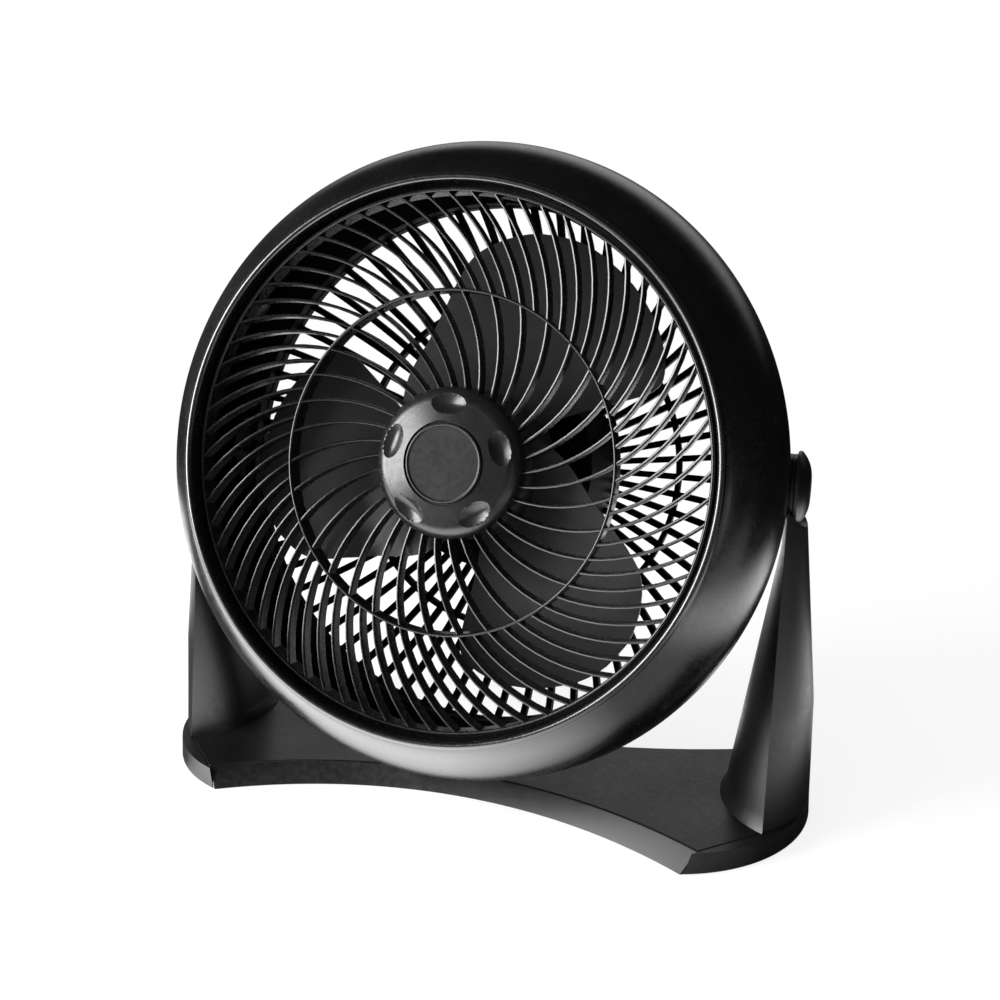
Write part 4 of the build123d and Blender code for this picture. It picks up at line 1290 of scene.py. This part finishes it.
@dataclass
class Studio:
    """Pale floor, white surround, soft lamps and the camera.

    What glossy surfaces mirror is given as patches of brightness: on the floor by place, in the
    surround by direction. Each patch is a product of ramps. The floor's patch behind the fan is
    also multiplied by the larger of the ramps in behind_parts.
    """

    azimuth: float = 0.3215
    pitch: float = 0.2640
    camera_place: tuple[float, float, float] = (0.22773, -0.65623, 0.36589)
    focal_pixels: float = 1135.2
    centre_pixels: tuple[float, float] = (499.74, 499.04)
    frame_pixels: float = 1000.0
    sensor: float = 36.0
    lamp_aim: tuple[float, float, float] = (0.0, 0.0, 0.2)
    lamps: tuple[Lamp, ...] = (
        Lamp("left soft box", (-1.2, -0.91, 0.56), (0.85, 1.0), 21.0),
        Lamp("right glow", (1.1, -0.9, 0.2), (0.5, 0.3), 0.9),
        Lamp("fill", (-0.2, -1.5, 1.1), (1.6, 1.6), 0.5, mirrored=False))
    floor_size: float = 6.0
    soft_light: float = 0.45
    floor_fade: Ramp = Ramp(Measure.DISTANCE, 0.0, 1.0, 0.45, 1.1)
    floor_end: Ramp = Ramp(Measure.DISTANCE, 1.0, 0.1, 1.0, 1.8)
    floor_ahead: tuple[Ramp, ...] = (
        Ramp(Measure.BACK, 0.1, 6.5, -0.075, -0.13), Ramp(Measure.BACK, 1.0, 0.05, -0.32, -0.5),
        Ramp(Measure.ACROSS, 1.0, 0.1, 0.0, 0.16))
    floor_behind: tuple[Ramp, ...] = (
        Ramp(Measure.BACK, 0.0, 2.2, 0.06, 0.13), Ramp(Measure.DISTANCE, 1.0, 0.0, 0.75, 0.95),
        Ramp(Measure.ACROSS, 1.0, 0.0, 0.2, 0.3))
    behind_parts: tuple[Ramp, ...] = (
        Ramp(Measure.DISTANCE, 0.0, 1.0, 0.36, 0.52), Ramp(Measure.ACROSS, 0.0, 1.0, 0.04, 0.14))
    floor_right: tuple[Ramp, ...] = (
        Ramp(Measure.ACROSS, 0.0, 2.6, 0.28, 0.36), Ramp(Measure.BACK, 1.0, 0.0, 0.2, 0.34),
        Ramp(Measure.ACROSS, 1.0, 0.0, 0.45, 0.62))
    surround_front: tuple[Ramp, ...] = (
        Ramp(Measure.ACROSS, 0.06, 1.0, 0.35, -0.3), Ramp(Measure.UP, 1.0, 0.05, 0.45, 0.68),
        Ramp(Measure.BACK, 0.05, 0.4, -0.55, -0.85))
    surround_rear: tuple[Ramp, ...] = (
        Ramp(Measure.BACK, 0.0, 0.8, 0.65, 0.8), Ramp(Measure.UP, 0.0, 1.0, 0.2, 0.4))

    def build_camera(self) -> None:
        """Puts the camera at the photograph's angle."""
        data = bpy.data.cameras.new("camera")
        data.sensor_width = self.sensor
        data.lens = self.focal_pixels / self.frame_pixels * self.sensor
        data.shift_x = (self.frame_pixels / 2 - self.centre_pixels[0]) / self.frame_pixels
        data.shift_y = (self.centre_pixels[1] - self.frame_pixels / 2) / self.frame_pixels
        data.clip_start, data.clip_end = 0.01, 50.0
        camera = put("camera", data)
        level = cos(self.pitch)
        look = Vector((-sin(self.azimuth) * level, cos(self.azimuth) * level, -sin(self.pitch)))
        camera.rotation_euler = look.to_track_quat("-Z", "Y").to_euler()
        camera.location = self.camera_place
        bpy.context.scene.camera = camera

    def build_floor(self) -> None:
        """Lays a pale floor that keeps the shadow near the fan and fades to white far away."""
        part = bmesh.new()
        bmesh.ops.create_grid(part, x_segments=1, y_segments=1, size=self.floor_size)
        mesh = bpy.data.meshes.new("floor")
        part.to_mesh(mesh)
        part.free()
        floor = put("floor", mesh)
        mesh.materials.append(bpy.data.materials.new("pale floor"))
        graph = Graph(mesh.materials[0])
        place = graph.add("ShaderNodeTexCoord").outputs["Object"]
        split = graph.add("ShaderNodeSeparateXYZ", Vector=place)
        length = graph.add("ShaderNodeVectorMath", {"operation": "LENGTH"}, Vector=place)
        measures = {Measure.ACROSS: split.outputs["X"], Measure.BACK: split.outputs["Y"],
                    Measure.DISTANCE: length.outputs[1]}
        matt = graph.add("ShaderNodeBsdfDiffuse", Color=(0.8, 0.8, 0.8, 1.0)).outputs[0]
        near = graph.add("ShaderNodeAddShader")
        graph.feed(near.inputs[0], graph.add("ShaderNodeBsdfDiffuse", Color=(0.3, 0.3, 0.3, 1.0)).outputs[0])
        graph.feed(near.inputs[1], graph.add("ShaderNodeEmission", Color=WHITE, Strength=0.8).outputs[0])
        white = graph.add("ShaderNodeEmission", Color=WHITE, Strength=1.0).outputs[0]
        seen = graph.mixed(graph.glow(measures, [self.floor_fade]), near.outputs[0], white)
        parts = graph.joined("MAXIMUM", *(graph.glow(measures, [ramp]) for ramp in self.behind_parts))
        behind = graph.joined("MULTIPLY", graph.glow(measures, self.floor_behind), parts)
        ahead, right = graph.glow(measures, self.floor_ahead), graph.glow(measures, self.floor_right)
        bright = graph.joined("MULTIPLY", graph.joined("MAXIMUM", ahead, behind, right),
                              graph.glow(measures, [self.floor_end]))
        mirrored = graph.add("ShaderNodeEmission", Color=WHITE, Strength=bright).outputs[0]
        rays = graph.add("ShaderNodeLightPath").outputs
        lit = graph.mixed(rays["Is Camera Ray"], graph.mixed(rays["Is Glossy Ray"], matt, mirrored), seen)
        under = graph.add("ShaderNodeBsdfTransparent").outputs[0]
        backfacing = graph.add("ShaderNodeNewGeometry").outputs["Backfacing"]
        graph.feed(graph.tree.nodes["Material Output"].inputs[0], graph.mixed(backfacing, lit, under))

    def build_surround(self) -> None:
        """Sets the world: white to the camera, soft light on the fan, patches in reflections."""
        world = bpy.data.worlds.new("surround")
        bpy.context.scene.world = world
        graph = Graph(world)
        graph.tree.nodes.clear()

        def shine(strength: object) -> Socket:
            """White light of a strength."""
            return graph.add("ShaderNodeBackground", Color=WHITE, Strength=strength).outputs[0]

        direction = graph.add("ShaderNodeTexCoord").outputs["Generated"]
        split = graph.add("ShaderNodeSeparateXYZ", Vector=direction)
        axes = (Measure.ACROSS, Measure.BACK, Measure.UP)
        measures = {axis: split.outputs[axis.value] for axis in axes}
        patches = (graph.glow(measures, ramps) for ramps in (self.surround_front, self.surround_rear))
        white, mirrored = shine(1.0), shine(graph.joined("ADD", *patches))
        rays = graph.add("ShaderNodeLightPath").outputs
        lit = graph.mixed(rays["Is Glossy Ray"], shine(self.soft_light), mirrored)
        lit = graph.mixed(rays["Is Transmission Ray"], lit, white)
        lit = graph.mixed(rays["Is Camera Ray"], lit, white)
        graph.add("ShaderNodeOutputWorld", Surface=lit)

    def build(self) -> None:
        """Sets up the studio."""
        self.build_camera()
        self.build_floor()
        self.build_surround()
        for lamp in self.lamps:
            lamp.hang(self.lamp_aim)
        bpy.context.scene.view_settings.view_transform = "Standard"


def dress_carried_over() -> None:
    """Gives every CAD node that stays its finish."""
    for look, nodes in CARRIED_OVER.items():
        for node in nodes:
            piece = frame["nodes"][node]
            for slot in piece.material_slots:
                slot.material = look.material()
            LOG.info("%s: carried over in %s", node, look.name)


def write_size() -> None:
    """Brings the view layer's evaluation up to date; it writes nothing."""
    bpy.context.view_layer.update()


def main() -> None:
    """Builds the fan and its studio."""
    logging.basicConfig(level=logging.INFO, format="%(message)s")
    assemblies = (Stand(), Upright(Side.RIGHT), Upright(Side.LEFT), Bezel(), FrontGrille(), HubCap(),
                  RearGrille(), Impeller(), SpeedKnob(), Studio())
    for assembly in assemblies:
        assembly.build()
    dress_carried_over()
    write_size()


if __name__ == "__main__":
    main()
